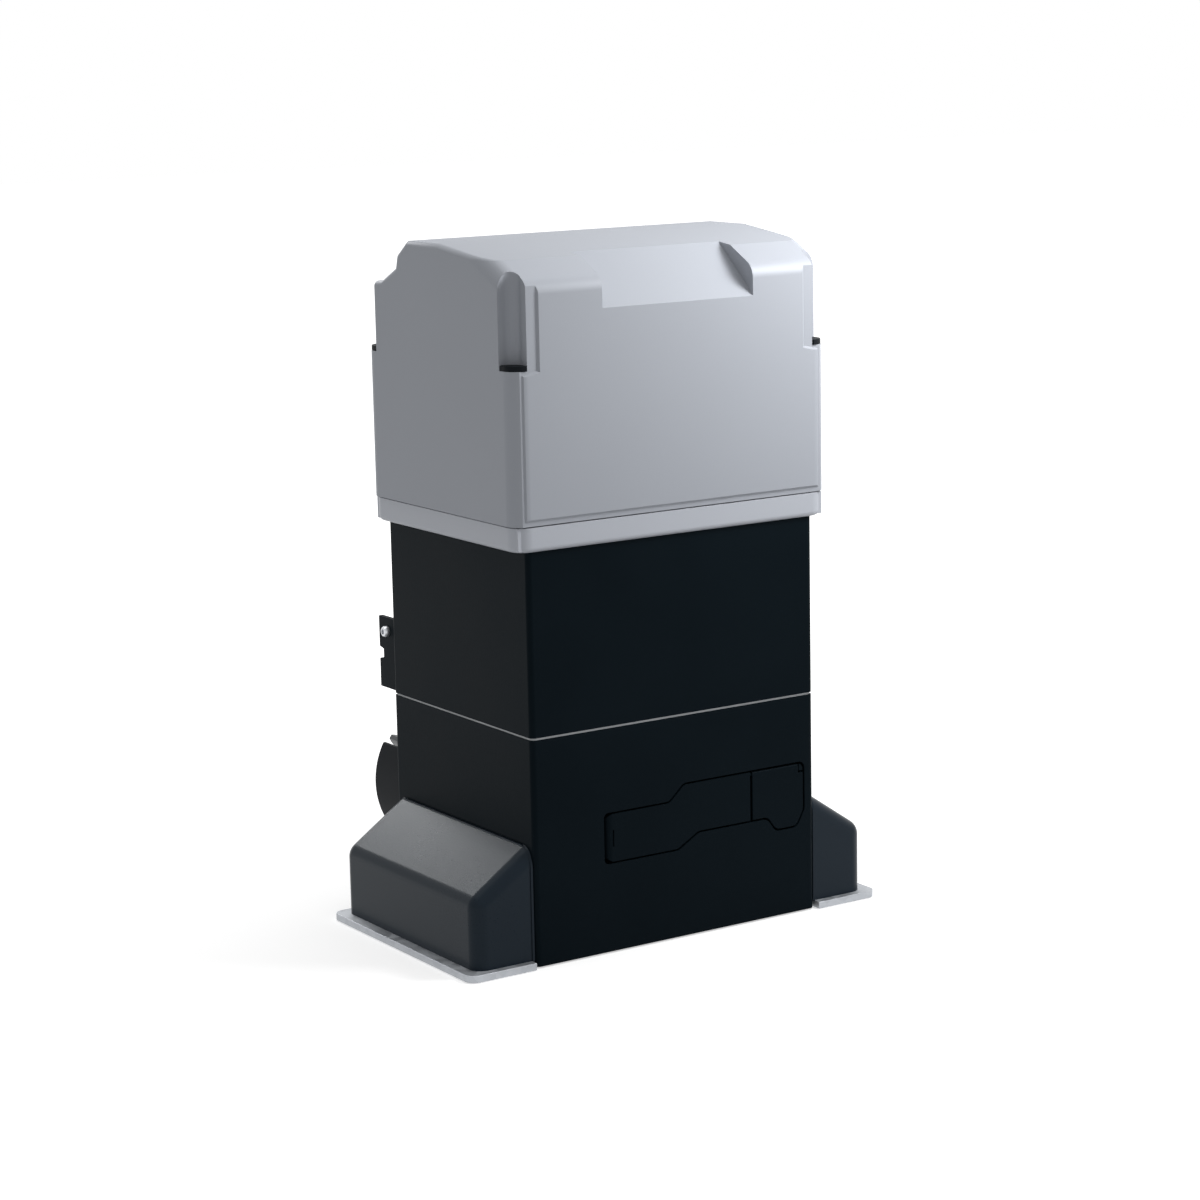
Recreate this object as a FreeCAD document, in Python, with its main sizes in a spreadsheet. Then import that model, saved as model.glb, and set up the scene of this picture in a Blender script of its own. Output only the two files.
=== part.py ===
"""Sliding gate motor: an oil-bath gearmotor on an anchor plate, with a keyed release lever and a covered control unit.

Frame: X right along the gate, -Y the front, +Y the gate side with the pinion, +Z up. The origin is the centre of the
four anchor holes, on the underside of the foundation plate. Millimetres.
"""
import FreeCAD, Part
import Sketcher
import math
import os
import re

App = FreeCAD
doc = App.newDocument("sliding_gate_motor")

# ---------------------------------------------------------------- driving sizes
SIZES = dict(
    # lower and upper castings
    body_width=188, body_depth=148, body_corner=3, body_wall=5, body_lift=0.5, body_split=126, body_top=228,
    bath_under=16, bath_floor=22, bath_right="=body_width/2-36", bath_back="=body_depth/2-14", gasket_thick=1.2,
    motor_floor=8,
    # cover and the tray below it
    cover_width="=body_width+18", cover_depth="=body_depth+8", cover_corner=10, cover_wall=2.6, cover_seam=0.6,
    tray_top="=body_top+14", tray_floor=4, tray_bevel=3, cover_top=387, ledge_height="=cover_top-63",
    channel_width=10, channel_depth=13, column_width=17, column_depth=20, cap_thick=3,
    shoulder_height="=cover_top-17.5", shoulder_round=10, rear_height="=cover_top-25", cover_soft=3,
    panel_rise=1.2, panel_edge="=cover_width/2-6.5", panel_neck="=cover_width/2-16",
    badge_left=-46, badge_right=52, badge_low="=cover_top-33", badge_top="=cover_top-9", badge_back=-51,
    # foundation plate, its studs and the side covers
    plate_length="=body_width+87", plate_depth="=body_depth+5", plate_thick=4, ear_start="=body_width/2+1.5",
    plate_waist="=body_depth-16", plate_corner=6, anchor_pitch_x="=body_width+52", anchor_pitch_y=120,
    anchor_hole=5.5, stud_pitch_x="=body_width+38", stud_pitch_y=76, stud_radius=5, stud_top=46, foot_under=20,
    foot_thick=10, foot_reach="=body_width/2+32", foot_half=15, side_reach="=body_width/2+37",
    side_half="=body_depth/2-2", side_wall=3, side_low=42, side_high=67, side_round=9, lip_wide=1.4, lip_rise=0.5,
    # cable duct
    duct_x="=body_width/2-17", duct_y="=body_depth/2-28", duct_width=18, duct_depth=32, duct_wall=3,
    # output shaft, worm gear and clutch
    worm_module=2.5, wheel_teeth=30, worm_pitch_radius=14, rotor_x=8,
    shaft_x="=rotor_x-worm_pitch_radius-wheel_teeth*worm_module/2",
    shaft_height="=bath_floor+7.5+wheel_teeth*worm_module/2", shaft_radius=15, neck_radius=12.5, wheel_width=20,
    worm_length=40, worm_root=10.75, worm_tip=16.5, hub_half=14, hub_radius=27, clutch_disc=3, pressure_thick=8,
    spring_length=9, clutch_nut_thick=8, rod_radius=5, rod_bore=5.3, cross_pin=3, release_travel=4.5,
    bearing_radius=31, bearing_width=16, front_bearing="=recess_floor+4", rear_bearing="=body_depth/2-26", race=5,
    # pinion and its guard
    pinion_module=4, pinion_teeth=20, pinion_start=80, pinion_width=27, pinion_hub=76, pinion_hub_radius=24,
    pinion_end=113, guard_gap=0.9, guard_wall=1.5, guard_plate=2, guard_top=90, guard_end=107,
    # motor
    stator_radius=58, stator_bore=30.4, stator_base="=body_split+19", stator_length=50, rotor_radius=30,
    rotor_shaft=10, rotor_bearing_radius=16, rotor_bearing_width=10, rotor_bearing_bore=6,
    shield_height="=body_top-13", shield_thick=6, tube_wall=5,
    # release lever, flap and lock
    recess_left="=pivot_x-13", recess_right=87.5, recess_low=50, recess_high=88, recess_step=79, recess_waist=58,
    recess_floor="=-body_depth/2+21", recess_wall=4, lever_face="=-body_depth/2", lever_back="=-body_depth/2+14",
    lever_gap=1.1, pivot_x="=shaft_x+7.5", pivot_y="=-body_depth/2+7", pivot_pin=3, cam_low=7, lever_corner=4,
    flap_left=51, flap_seam=1.6, flap_thick=3.2, flap_pin=0.9, lock_x=72, lock_height=69.2, lock_radius=6.2, lock_case=9,
    tail_length=17.3, tail_half=2.4,
    # electronics in the cover
    board_height="=cover_top-87", board_width=130, board_depth=100, board_thick=1.6,
    # limit sensor on the gate side
    sensor_left="=-body_width/2-1", sensor_low=125, sensor_high=169, sensor_reach="=body_depth/2+18.5",
    sensor_notch=4.5,
    fit=0.05, slack=0.3,
)
sheet = doc.addObject("Spreadsheet::Sheet", "sizes")
for row, alias in enumerate(SIZES, start=1):
    sheet.set(f"A{row}", alias)
    sheet.setAlias(f"B{row}", alias)
for row, value in enumerate(SIZES.values(), start=1):
    sheet.set(f"B{row}", str(value))
doc.recompute()


def size(alias):
    return float(sheet.get(alias))


# ---------------------------------------------------------------- how pieces are made
def bound(text):
    """An expression in the sheet's aliases, written with their bare names."""
    return re.sub(r"[a-z][a-z_]+", lambda m: "sizes." + m.group() if m.group() in SIZES else m.group(), str(text))


def worth(text):
    """The number an expression in the sheet's aliases has now."""
    return float(sheet.evalExpression(bound(text)))


def bind(thing, **sizes):
    for name, text in sizes.items():
        thing.setExpression(name, bound(text))
    return thing


TURNS = {
    "Z": App.Rotation(),
    "-Z": App.Rotation(App.Vector(1, 0, 0), 180),
    "Y": App.Rotation(App.Vector(0, 0, 1), App.Vector(0, 1, 0)),
    "-Y": App.Rotation(App.Vector(0, 0, 1), App.Vector(0, -1, 0)),
    "X": App.Rotation(App.Vector(0, 0, 1), App.Vector(1, 0, 0)),
}


def place(thing, at, axis="Z"):
    """Stand a piece at a point given by three expressions, with its own Z along the named axis."""
    thing.Placement = App.Placement(App.Vector(*[worth(text) for text in at]), TURNS[axis])
    for letter, text in zip("xyz", at):
        thing.setExpression(".Placement.Base." + letter, bound(text))
    return thing


def box(name, x, y, z):
    """A box from three (low, high) pairs of expressions."""
    thing = doc.addObject("Part::Box", name)
    bind(thing, Length=f"({x[1]})-({x[0]})", Width=f"({y[1]})-({y[0]})", Height=f"({z[1]})-({z[0]})")
    return place(thing, (x[0], y[0], z[0]))


def rod(name, radius, length, at, axis="Z"):
    thing = bind(doc.addObject("Part::Cylinder", name), Radius=radius, Height=length)
    return place(thing, at, axis)


def hexagon(name, across, height, at, axis="Z"):
    """A hexagonal prism, its size given across the flats."""
    thing = doc.addObject("Part::Prism", name)
    thing.Polygon = 6
    bind(thing, Circumradius=f"({across})/1.7320508", Height=height)
    return place(thing, at, axis)


def join(name, *things):
    thing = doc.addObject("Part::MultiFuse", name)
    thing.Shapes = list(things)
    thing.Refine = True
    return thing


def cut(name, base, *tools):
    thing = doc.addObject("Part::Cut", name)
    thing.Base = base
    thing.Tool = tools[0] if len(tools) == 1 else group(name + "_tools", *tools)
    return thing


def group(name, *things):
    """Separate solids kept together: bolts of one kind, or the tools of one cut."""
    thing = doc.addObject("Part::Compound", name)
    thing.Links = list(things)
    return thing


def overlap(name, one, other):
    thing = doc.addObject("Part::Common", name)
    thing.Base, thing.Tool = one, other
    return thing


def mirror(name, source, normal):
    thing = doc.addObject("Part::Mirroring", name)
    thing.Source = source
    thing.Normal = App.Vector(*normal)
    return thing


def four(name, corner):
    """A piece at one corner and its mirror images at the other three."""
    across = mirror(name + "_across", corner, (1, 0, 0))
    pair = [mirror(f"{name}_back{side}", thing, (0, 1, 0)) for side, thing in enumerate((corner, across))]
    return group(name, corner, across, *pair)


PLANES = {"XY": ("XY_Plane", 1), "XZ": ("XZ_Plane", -1), "YZ": ("YZ_Plane", 1)}


def outline(body, plane, points, start="0"):
    """A closed sketch of straight sides whose corners are expressions, each tied to the origin."""
    role, sign = PLANES[plane]
    sketch = body.newObject("Sketcher::SketchObject", body.Name + "_outline")
    sketch.AttachmentSupport = [next(o for o in body.Origin.OriginFeatures if o.Role == role)]
    sketch.MapMode = "FlatFace"
    sketch.setExpression(".AttachmentOffset.Base.z", bound(f"{sign}*({start})"))
    spots = [App.Vector(worth(a), worth(b), 0) for a, b in points]
    count = len(spots)
    for i, spot in enumerate(spots):
        sketch.addGeometry(Part.LineSegment(spot, spots[(i + 1) % count]), False)
    for i in range(count):
        sketch.addConstraint(Sketcher.Constraint("Coincident", i, 2, (i + 1) % count, 1))
    for i, (texts, spot) in enumerate(zip(points, spots)):
        for kind, text, number in zip(("DistanceX", "DistanceY"), texts, spot):
            index = sketch.addConstraint(Sketcher.Constraint(kind, -1, 1, i, 1, number))
            if re.search("[a-z]", str(text)):
                sketch.setExpression(f"Constraints[{index}]", bound(text))
    return sketch


def padded(name, plane, points, start, length, rounds=()):
    """A body padded from an outline, from a start along the plane's axis. rounds pairs corner numbers with a radius."""
    body = doc.addObject("PartDesign::Body", name)
    sketch = outline(body, plane, points, start)
    pad = body.newObject("PartDesign::Pad", name + "_pad")
    pad.Profile = sketch
    pad.Reversed = plane == "XZ"
    bind(pad, Length=length)
    doc.recompute()
    feature = pad
    normal = {"XY": (0, 0, 1), "XZ": (0, 1, 0), "YZ": (1, 0, 0)}[plane]
    for number, (corners, radius) in enumerate(rounds):
        spots = [flat(plane, worth(points[c][0]), worth(points[c][1])) for c in corners]
        feature = fillet(body, feature, radius, lambda e: along(e, normal) and near_line(e, spots, normal), number)
    return body


def flat(plane, a, b):
    return {"XY": App.Vector(a, b, 0), "XZ": App.Vector(a, 0, b), "YZ": App.Vector(0, a, b)}[plane]


def along(edge, normal):
    return isinstance(edge.Curve, Part.Line) and abs(edge.Curve.Direction.dot(App.Vector(*normal))) > 0.999


def near_line(edge, spots, normal):
    middle = edge.CenterOfMass
    away = App.Vector(*normal)
    middle = middle - away * middle.dot(away)
    return any((middle - spot).Length < 0.01 for spot in spots)


def fillet(body, feature, radius, wanted, number=0, kind="Fillet"):
    """Round, or with kind Chamfer bevel, the edges of a body that the wanted test picks."""
    names = [f"Edge{i}" for i, edge in enumerate(feature.Shape.Edges, start=1) if wanted(edge)]
    rounding = body.newObject("PartDesign::" + kind, f"{body.Name}_round{number}")
    rounding.Base = (feature, names)
    bind(rounding, **{"Radius" if kind == "Fillet" else "Size": radius})
    body.Tip = rounding
    doc.recompute()
    return rounding


def slab(name, half_x, half_y, low, height, corner):
    """A rectangular block with rounded upright edges, centred on the Z axis."""
    points = [(f"-({half_x})", f"-({half_y})"), (half_x, f"-({half_y})"), (half_x, half_y), (f"-({half_x})", half_y)]
    return padded(name, "XY", points, low, height, [((0, 1, 2, 3), corner)])


def turned(name, points, at=("0", "0", "0"), axis="Z"):
    """A body turned about its own Z axis from (radius, height) points."""
    body = doc.addObject("PartDesign::Body", name)
    sketch = outline(body, "XZ", points)
    turn = body.newObject("PartDesign::Revolution", name + "_turn")
    turn.Profile = sketch
    turn.ReferenceAxis = (sketch, ["V_Axis"])
    turn.Angle = 360
    return place(body, at, axis)


def ring(name, outer, inner, start, length, at=("shaft_x", "0", "shaft_height"), axis="Y"):
    """A plain ring about the output shaft, or about another line through the given point."""
    low, high = start, f"({start})+({length})"
    return turned(name, [(inner, low), (outer, low), (outer, high), (inner, high)], at, axis)


NODES = []


def node(thing, name):
    thing.Label = name
    NODES.append((name, thing))
    return thing


OUTPUT = ("shaft_x", "0", "shaft_height")
ROTOR_X = "rotor_x"
ROTOR = (ROTOR_X, "0", "0")
HALF_W, HALF_D = "body_width/2", "body_depth/2"


# ---------------------------------------------------------------- foundation plate and its fixings
def foundation():
    far, deep, ear, waist = "plate_length/2", "plate_depth/2", "ear_start", "plate_waist/2"
    points = [(f"-{far}", f"-{deep}"), (f"-{ear}", f"-{deep}"), (f"-{ear}", f"-{waist}"), (ear, f"-{waist}"),
              (ear, f"-{deep}"), (far, f"-{deep}"), (far, deep), (ear, deep), (ear, waist), (f"-{ear}", waist),
              (f"-{ear}", deep), (f"-{far}", deep)]
    sheet_metal = padded("plate_blank", "XY", points, "0", "plate_thick", [((0, 5, 6, 11), "plate_corner")])
    hole = rod("anchor_bore", "anchor_hole", "plate_thick*3", ("anchor_pitch_x/2", "anchor_pitch_y/2", "-plate_thick"))
    cable = box("plate_cable_hole", ("duct_x-duct_width/2", "duct_x+duct_width/2"),
                ("duct_y-duct_depth/2", "duct_y+duct_depth/2"), ("-plate_thick", "plate_thick*2"))
    node(cut("foundation", sheet_metal, four("anchor_bores", hole), cable), "foundation_plate")

    corner = ("stud_pitch_x/2", "stud_pitch_y/2")
    stud = turned("stud", [("0", "plate_thick"), ("stud_radius", "plate_thick"), ("stud_radius", "stud_top-1"),
                           ("stud_radius-1", "stud_top"), ("0", "stud_top")], (*corner, "0"))
    node(four("studs", stud), "plate_studs")
    nuts, washers = [], []
    for name, low, side in (("lower", "foot_under-10.5", "foot_under-2"),
                            ("upper", "foot_under+foot_thick+2", "foot_under+foot_thick")):
        body = hexagon(f"{name}_nut_blank", "17", "8.5", (*corner, low))
        bore = rod(f"{name}_nut_bore", "stud_radius+fit", "20", (*corner, f"{low}-5"))
        nuts.append(four(f"{name}_nuts", cut(f"{name}_nut", body, bore)))
        washers.append(four(f"{name}_washers", ring(f"{name}_washer", "10", "stud_radius+slack", side, "2",
                                                    (*corner, "0"), "Z")))
    node(group("nuts", *nuts, *washers), "stud_nuts")


# ---------------------------------------------------------------- lower casting: oil bath, bearings, lever recess
def recess_points(inset):
    """The recess outline on the front face, drawn in by inset: a long handle with a lobe under the lock."""
    left, right = f"recess_left+{inset}", f"recess_right-{inset}"
    low, high = f"recess_low+{inset}", f"recess_high-{inset}"
    step, waist = f"recess_step-{inset}", f"recess_waist+{inset}"
    return [(left, low), (f"-{inset}*0.5", low), (f"14-{inset}*0.3", waist), (f"61+{inset}*0.4", waist),
            (f"67+{inset}*0.4", low), (f"82-{inset}*0.4", low), (right, "recess_low+10"), (right, high),
            (f"4+{inset}*0.4", high), (f"-6+{inset}*0.4", step), (left, step)]


RECESS_ROUNDS = [((0, 10), "3"), ((1, 2, 3, 4, 5, 6, 8, 9), "5"), ((7,), "4")]
LEVER_ROUNDS = [((0, 10), "5.5"), ((1, 2, 3, 4, 5, 6, 8, 9), "5"), ((7,), "4")]


def lower_housing():
    shell = slab("lower_shell", HALF_W, HALF_D, "body_lift", "body_split-body_lift", "body_corner")
    inner_w, inner_d = f"{HALF_W}-body_wall", f"{HALF_D}-body_wall"
    skirt = box("skirt_room", (f"-({inner_w})", inner_w), (f"-({inner_d})", inner_d), ("-1", "bath_under"))
    notch = box("plate_room", (f"-{HALF_W}-5", f"{HALF_W}+5"), ("-plate_waist/2-1", "plate_waist/2+1"),
                ("-1", "plate_thick+body_lift"))
    bath = box("oil_bath", (f"-({inner_w})", "bath_right"), (f"-({inner_d})", "bath_back"),
               ("bath_floor", "body_split+5"))
    dry = box("dry_pocket", ("bath_right+body_wall", inner_w), (f"-({inner_d})", "duct_y-duct_depth/2-duct_wall"),
              ("bath_floor", "body_split+5"))
    duct = box("duct_low", ("duct_x-duct_width/2", "duct_x+duct_width/2"),
               ("duct_y-duct_depth/2", "duct_y+duct_depth/2"), ("0", "body_split+5"))
    hollow = cut("lower_hollow", shell, skirt, notch, bath, dry, duct)

    pan = padded("recess_pan", "XZ", recess_points("(-recess_wall)"), f"-{HALF_D}+1", f"recess_floor+recess_wall+{HALF_D}-1")
    front_boss = rod("front_boss", "bearing_radius+7", "front_bearing+bearing_width-recess_floor",
                     ("shaft_x", "recess_floor", "shaft_height"), "Y")
    rear_boss = rod("rear_boss", "bearing_radius+7", f"{HALF_D}-1-rear_bearing+3",
                    ("shaft_x", "rear_bearing-3", "shaft_height"), "Y")
    foot_boss = rod("worm_foot_boss", "rotor_bearing_radius+5", "14", (ROTOR_X, "0", "bath_floor-2"))
    foot = padded("foot", "XY", [(f"{HALF_W}-2", "stud_pitch_y/2-foot_half"),
                                 ("foot_reach", "stud_pitch_y/2-foot_half"),
                                 ("foot_reach", "stud_pitch_y/2+foot_half"),
                                 (f"{HALF_W}-2", "stud_pitch_y/2+foot_half")],
                  "foot_under", "foot_thick", [((1, 2), "8")])
    rib = padded("foot_rib", "XZ", [(f"{HALF_W}-2", "foot_under+foot_thick-1"),
                                    ("stud_pitch_x/2-11.5", "foot_under+foot_thick-1"),
                                    (f"{HALF_W}-2", "side_high-8")], "stud_pitch_y/2-3", "6")
    solid = join("lower_solid", hollow, pan, front_boss, rear_boss, foot_boss, four("feet", foot), four("ribs", rib))

    recess = padded("recess", "XZ", recess_points("0"), f"-{HALF_D}-5", f"recess_floor+{HALF_D}+5", RECESS_ROUNDS)
    keeper = box("keeper_slot", ("recess_right-1", "recess_right+2.8"), ("recess_floor-6", "recess_floor+0"),
                 ("lock_height-4", "lock_height+12"))
    counter = rod("rod_head_room", "7.6", "recess_floor+1.5-pivot_y-6", ("shaft_x", "pivot_y+6", "shaft_height"), "Y")
    rod_hole = rod("rod_bush_bore", "rod_radius+3", "10", ("shaft_x", "recess_floor-2", "shaft_height"), "Y")
    front_seat = rod("front_seat", "bearing_radius", "bearing_width+1",
                     ("shaft_x", "front_bearing", "shaft_height"), "Y")
    rear_seat = rod("rear_seat", "bearing_radius", "bearing_width+4", ("shaft_x", "rear_bearing-4", "shaft_height"), "Y")
    shaft_way = rod("shaft_way", "26", "40", ("shaft_x", "rear_bearing", "shaft_height"), "Y")
    foot_seat = rod("worm_foot_seat", "rotor_bearing_radius", "20", (ROTOR_X, "0", "bath_floor+2"))
    slot = rod("foot_hole", "stud_radius+1", "foot_thick*3", ("stud_pitch_x/2", "stud_pitch_y/2", "foot_under-10"))
    pin = rod("lever_pin_bore", "pivot_pin", "recess_step-recess_low+16", ("pivot_x", "pivot_y", "recess_low-8"))
    screw = rod("split_screw_tap", "2.5", "20", (f"{HALF_W}-body_wall-2", f"{HALF_D}-body_wall-2", "body_split-20"))
    post = rod("split_screw_post", "7", "body_split-bath_floor",
               (f"{HALF_W}-body_wall-2", f"{HALF_D}-body_wall-2", "bath_floor"))
    posts = four("split_screw_posts", post)
    guard_taps = [rod(f"guard_tap{i}", "2", "10", (x, f"{HALF_D}-4.4", GUARD_HOLE_Z), "Y")
                  for i, x in enumerate(GUARD_HOLE_X)]
    whole = join("lower_whole", solid, overlap("posts_in_shell", posts, slab(
        "lower_envelope", HALF_W, HALF_D, "body_lift", "body_split-body_lift", "body_corner")))
    node(cut("lower_casting", whole, recess, keeper, counter, rod_hole, front_seat, rear_seat, shaft_way, foot_seat,
             four("foot_holes", slot), pin, four("split_screw_taps", screw), *guard_taps), "lower_housing")
    node(ring("rod_bush_ring", "rod_radius+3", "rod_bore", "recess_floor+1.5", "2.5"), "release_rod_bush")
    node(rod("lever_hinge_pin", "pivot_pin", "recess_step-recess_low+12", ("pivot_x", "pivot_y", "recess_low-6")),
         "lever_pin")


def side_cover(side, sign):
    """One of the two wedge covers over the feet, open below and towards the castings."""
    near = f"{sign}*({HALF_W}+slack)"
    far = f"{sign}*side_reach"
    points = [(near, "plate_thick"), (far, "plate_thick"), (far, "side_low"), (near, "side_high")]
    wedge = padded(f"wedge_{side}", "XZ", points, "-side_half", "side_half*2", [((2,), "side_round")])
    tip = wedge.Tip
    fillet(wedge, tip, "side_round*0.9", lambda e: abs(e.CenterOfMass.x) > size("body_width") / 2 + 1
           and e.CenterOfMass.z > size("plate_thick") + 1 and abs(abs(e.CenterOfMass.y) - size("side_half")) < 0.01, 1)
    inner = [(f"{sign}*({HALF_W}-5)", "0"), (f"{sign}*(side_reach-side_wall)", "0"),
             (f"{sign}*(side_reach-side_wall)", "side_low-side_wall*0.7"), (near, "side_high-side_wall*1.3"),
             (f"{sign}*({HALF_W}-5)", "side_high-side_wall*1.3")]
    room = padded(f"wedge_room_{side}", "XZ", inner, "-(side_half-side_wall)", "(side_half-side_wall)*2",
                  [((2,), "side_round-side_wall")])
    tip = room.Tip
    fillet(room, tip, "side_round*0.9-side_wall*0.9", lambda e: abs(e.CenterOfMass.x) > size("body_width") / 2 + 1
           and e.CenterOfMass.z > 1 and abs(abs(e.CenterOfMass.y) - size("side_half") + size("side_wall")) < 0.01, 1)
    lip_half = "side_half+lip_rise"
    lip = padded(f"lip_{side}", "YZ", [(f"-({lip_half})", "plate_thick"), (lip_half, "plate_thick"),
                                       (lip_half, "side_high"), (f"-({lip_half})", "side_high")],
                 near if sign > 0 else f"-({HALF_W}+slack+lip_wide)", "lip_wide", [((2, 3), "side_round+2")])
    node(cut(f"side_{side}", join(f"wedge_lip_{side}", wedge, lip), room), f"side_cover_{side}")


# ---------------------------------------------------------------- upper casting, gasket and motor
def upper_housing():
    low = "body_split+gasket_thick"
    inner_w, inner_d = f"{HALF_W}-body_wall", f"{HALF_D}-body_wall"
    duct = [("duct_x-duct_width/2", "duct_x+duct_width/2"), ("duct_y-duct_depth/2", "duct_y+duct_depth/2")]
    shell = slab("upper_shell", HALF_W, HALF_D, low, f"body_top-({low})", "body_corner")
    room = box("upper_room", (f"-({inner_w})", inner_w), (f"-({inner_d})", inner_d),
               (f"{low}+motor_floor", "body_top+5"))
    tube = rod("motor_tube", "stator_radius+tube_wall", f"shield_height-({low})-1", (ROTOR_X, "0", f"{low}+1"))
    well = box("duct_well", ("duct_x-duct_width/2-duct_wall", inner_w + "+1"),
               ("duct_y-duct_depth/2-duct_wall", inner_d + "+1"), (f"{low}+1", "body_top"))
    post = rod("upper_post", "7", f"body_top-({low})-1", (f"{inner_w}-2", f"{inner_d}-2", f"{low}+1"))
    posts = overlap("upper_posts", four("upper_post_set", post),
                    slab("upper_envelope", HALF_W, HALF_D, low, f"body_top-({low})", "body_corner"))
    solid = join("upper_solid", cut("upper_hollow", shell, room), tube, well, posts)
    bore = rod("stator_seat", "stator_radius", "100", (ROTOR_X, "0", f"{low}+motor_floor"))
    neck = rod("rotor_way", "rotor_radius+1", "100", (ROTOR_X, "0", "body_split"))
    way = box("duct_high", *duct, ("body_split", "body_top+5"))
    tap = rod("upper_tap", "2.5", "25", (f"{inner_w}-2", f"{inner_d}-2", "body_top-18"))
    clear = rod("upper_clear", "2.8", "30", (f"{inner_w}-2", f"{inner_d}-2", "body_split"))
    counter = rod("upper_counter", "5.2", "60", (f"{inner_w}-2", f"{inner_d}-2", f"{low}+12"))
    node(cut("upper_casting", solid, bore, neck, way, four("upper_taps", tap), four("upper_clears", clear),
             four("upper_counters", counter)), "upper_housing")

    flat_seal = slab("gasket_blank", f"{HALF_W}-0.6", f"{HALF_D}-0.6", "body_split", "gasket_thick", "body_corner")
    window = box("gasket_window", (f"-({inner_w})+9", "bath_right"), (f"-({inner_d})+2", "bath_back"),
                 ("body_split-5", "body_split+5"))
    node(cut("gasket", flat_seal, window, box("gasket_duct", *duct, ("body_split-5", "body_split+5")),
             four("gasket_holes", rod("gasket_hole", "2.8", "10", (f"{inner_w}-2", f"{inner_d}-2", "body_split-5")))),
         "housing_gasket")


def motor():
    low = "body_split+gasket_thick"
    base, top = "stator_base", "stator_base+stator_length"
    node(ring("stator_pack", "stator_radius-fit", "stator_bore", base, "stator_length", ROTOR, "Z"), "stator_core")
    lower_coil = ring("coil_low", "stator_radius-5", "stator_bore+4", f"{base}-9", "9", ROTOR, "Z")
    upper_coil = ring("coil_high", "stator_radius-5", "stator_bore+4", top, "9", ROTOR, "Z")
    node(group("coils", lower_coil, upper_coil), "stator_windings")

    # the plate under the motor holds the middle bearing and the seal that keeps the oil down
    disc = rod("bearing_disc", "rotor_radius+10", "rotor_bearing_width+6.2", (ROTOR_X, "0", f"{low}-16.2"))
    seat = rod("bearing_disc_seat", "rotor_bearing_radius", "30", (ROTOR_X, "0", f"{low}-15.4"))
    lip = rod("bearing_disc_way", "rotor_shaft+3", "60", (ROTOR_X, "0", f"{low}-40"))
    node(cut("middle_plate", disc, seat, lip), "bearing_plate")
    offset = "(rotor_radius+5)*0.70710678"
    screws = []
    for number, (sx, sy) in enumerate(((1, 1), (1, -1), (-1, 1), (-1, -1))):
        screws.append(turned(f"plate_screw{number}", [("0", f"{low}-19.2"), ("4", f"{low}-19.2"),
                                                      ("4", f"{low}-16.2"), ("0", f"{low}-16.2")],
                             (f"{ROTOR_X}+{sx}*{offset}", f"{sy}*{offset}", "0")))
    split_bolt = turned("split_bolt", [("0", "body_split-16"), ("2.4", "body_split-16"), ("2.4", f"{low}+12"),
                                       ("4.8", f"{low}+12"), ("4.8", f"{low}+17"), ("2.2", f"{low}+17"),
                                       ("2.2", f"{low}+14"), ("0", f"{low}+14")],
                        (f"{HALF_W}-body_wall-2", f"{HALF_D}-body_wall-2", "0"))
    node(group("casting_screws", four("split_bolts", split_bolt), *screws), "housing_bolts")
    rotor_seal = ring("rotor_seal", "rotor_bearing_radius-fit", "rotor_shaft+0.2", f"{low}-5", "4.8", ROTOR, "Z")
    output_seal = turned("output_seal", [("shaft_radius+3.2", f"{HALF_D}-7.5"), ("26-fit", f"{HALF_D}-7.5"),
                                         ("26-fit", f"{HALF_D}-0.5"), ("shaft_radius+6", f"{HALF_D}-0.5"),
                                         ("shaft_radius+6", f"{HALF_D}-2"), ("shaft_radius+3.2", f"{HALF_D}-2")],
                         OUTPUT, "Y")
    node(group("seals", rotor_seal, output_seal), "oil_seals")

    shield = rod("shield_disc", "stator_radius+tube_wall", "shield_thick", (ROTOR_X, "0", "shield_height"))
    boss = rod("shield_boss", "rotor_bearing_radius+4", "shield_thick+4", (ROTOR_X, "0", "shield_height"))
    bearing = rod("shield_seat", "rotor_bearing_radius", "20", (ROTOR_X, "0", "shield_height-rotor_bearing_width+8"))
    node(cut("end_shield", join("shield_solid", shield, boss), bearing,
             rod("shield_way", "rotor_bearing_radius-4", "40", (ROTOR_X, "0", "shield_height-10"))), "motor_end_shield")

    # three bearings: foot, middle and top
    outer, inner = [], []
    for name, start in (("foot", "bath_floor+2"), ("middle", f"{low}-15.4"), ("top", "shield_height-rotor_bearing_width+8")):
        bore = "rotor_shaft" if name == "middle" else "rotor_bearing_bore"
        outer.append(ring(f"{name}_outer", "rotor_bearing_radius-fit", f"({bore}+rotor_bearing_radius)/2+0.6",
                          start, "rotor_bearing_width", ROTOR, "Z"))
        inner.append(ring(f"{name}_inner", f"({bore}+rotor_bearing_radius)/2-0.6", f"{bore}", start,
                          "rotor_bearing_width", ROTOR, "Z"))
    node(group("rotor_outer_rings", *outer), "rotor_bearing_outer_rings")
    node(group("rotor_inner_rings", *inner), "rotor_bearing_inner_rings")

    node(ring("rotor_pack", "rotor_radius", "rotor_shaft", base, "stator_length", ROTOR, "Z"), "rotor_core")
    node(group("rotor_rings", ring("rotor_ring_low", "rotor_radius-2", "rotor_radius-9", f"{base}-5", "5", ROTOR, "Z"),
               ring("rotor_ring_high", "rotor_radius-2", "rotor_radius-9", top, "5", ROTOR, "Z")), "rotor_end_rings")
    node(ring("slotted_disc", "17", "rotor_bearing_bore", "tray_top-8", "1.5", ROTOR, "Z"), "encoder_disc")


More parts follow.
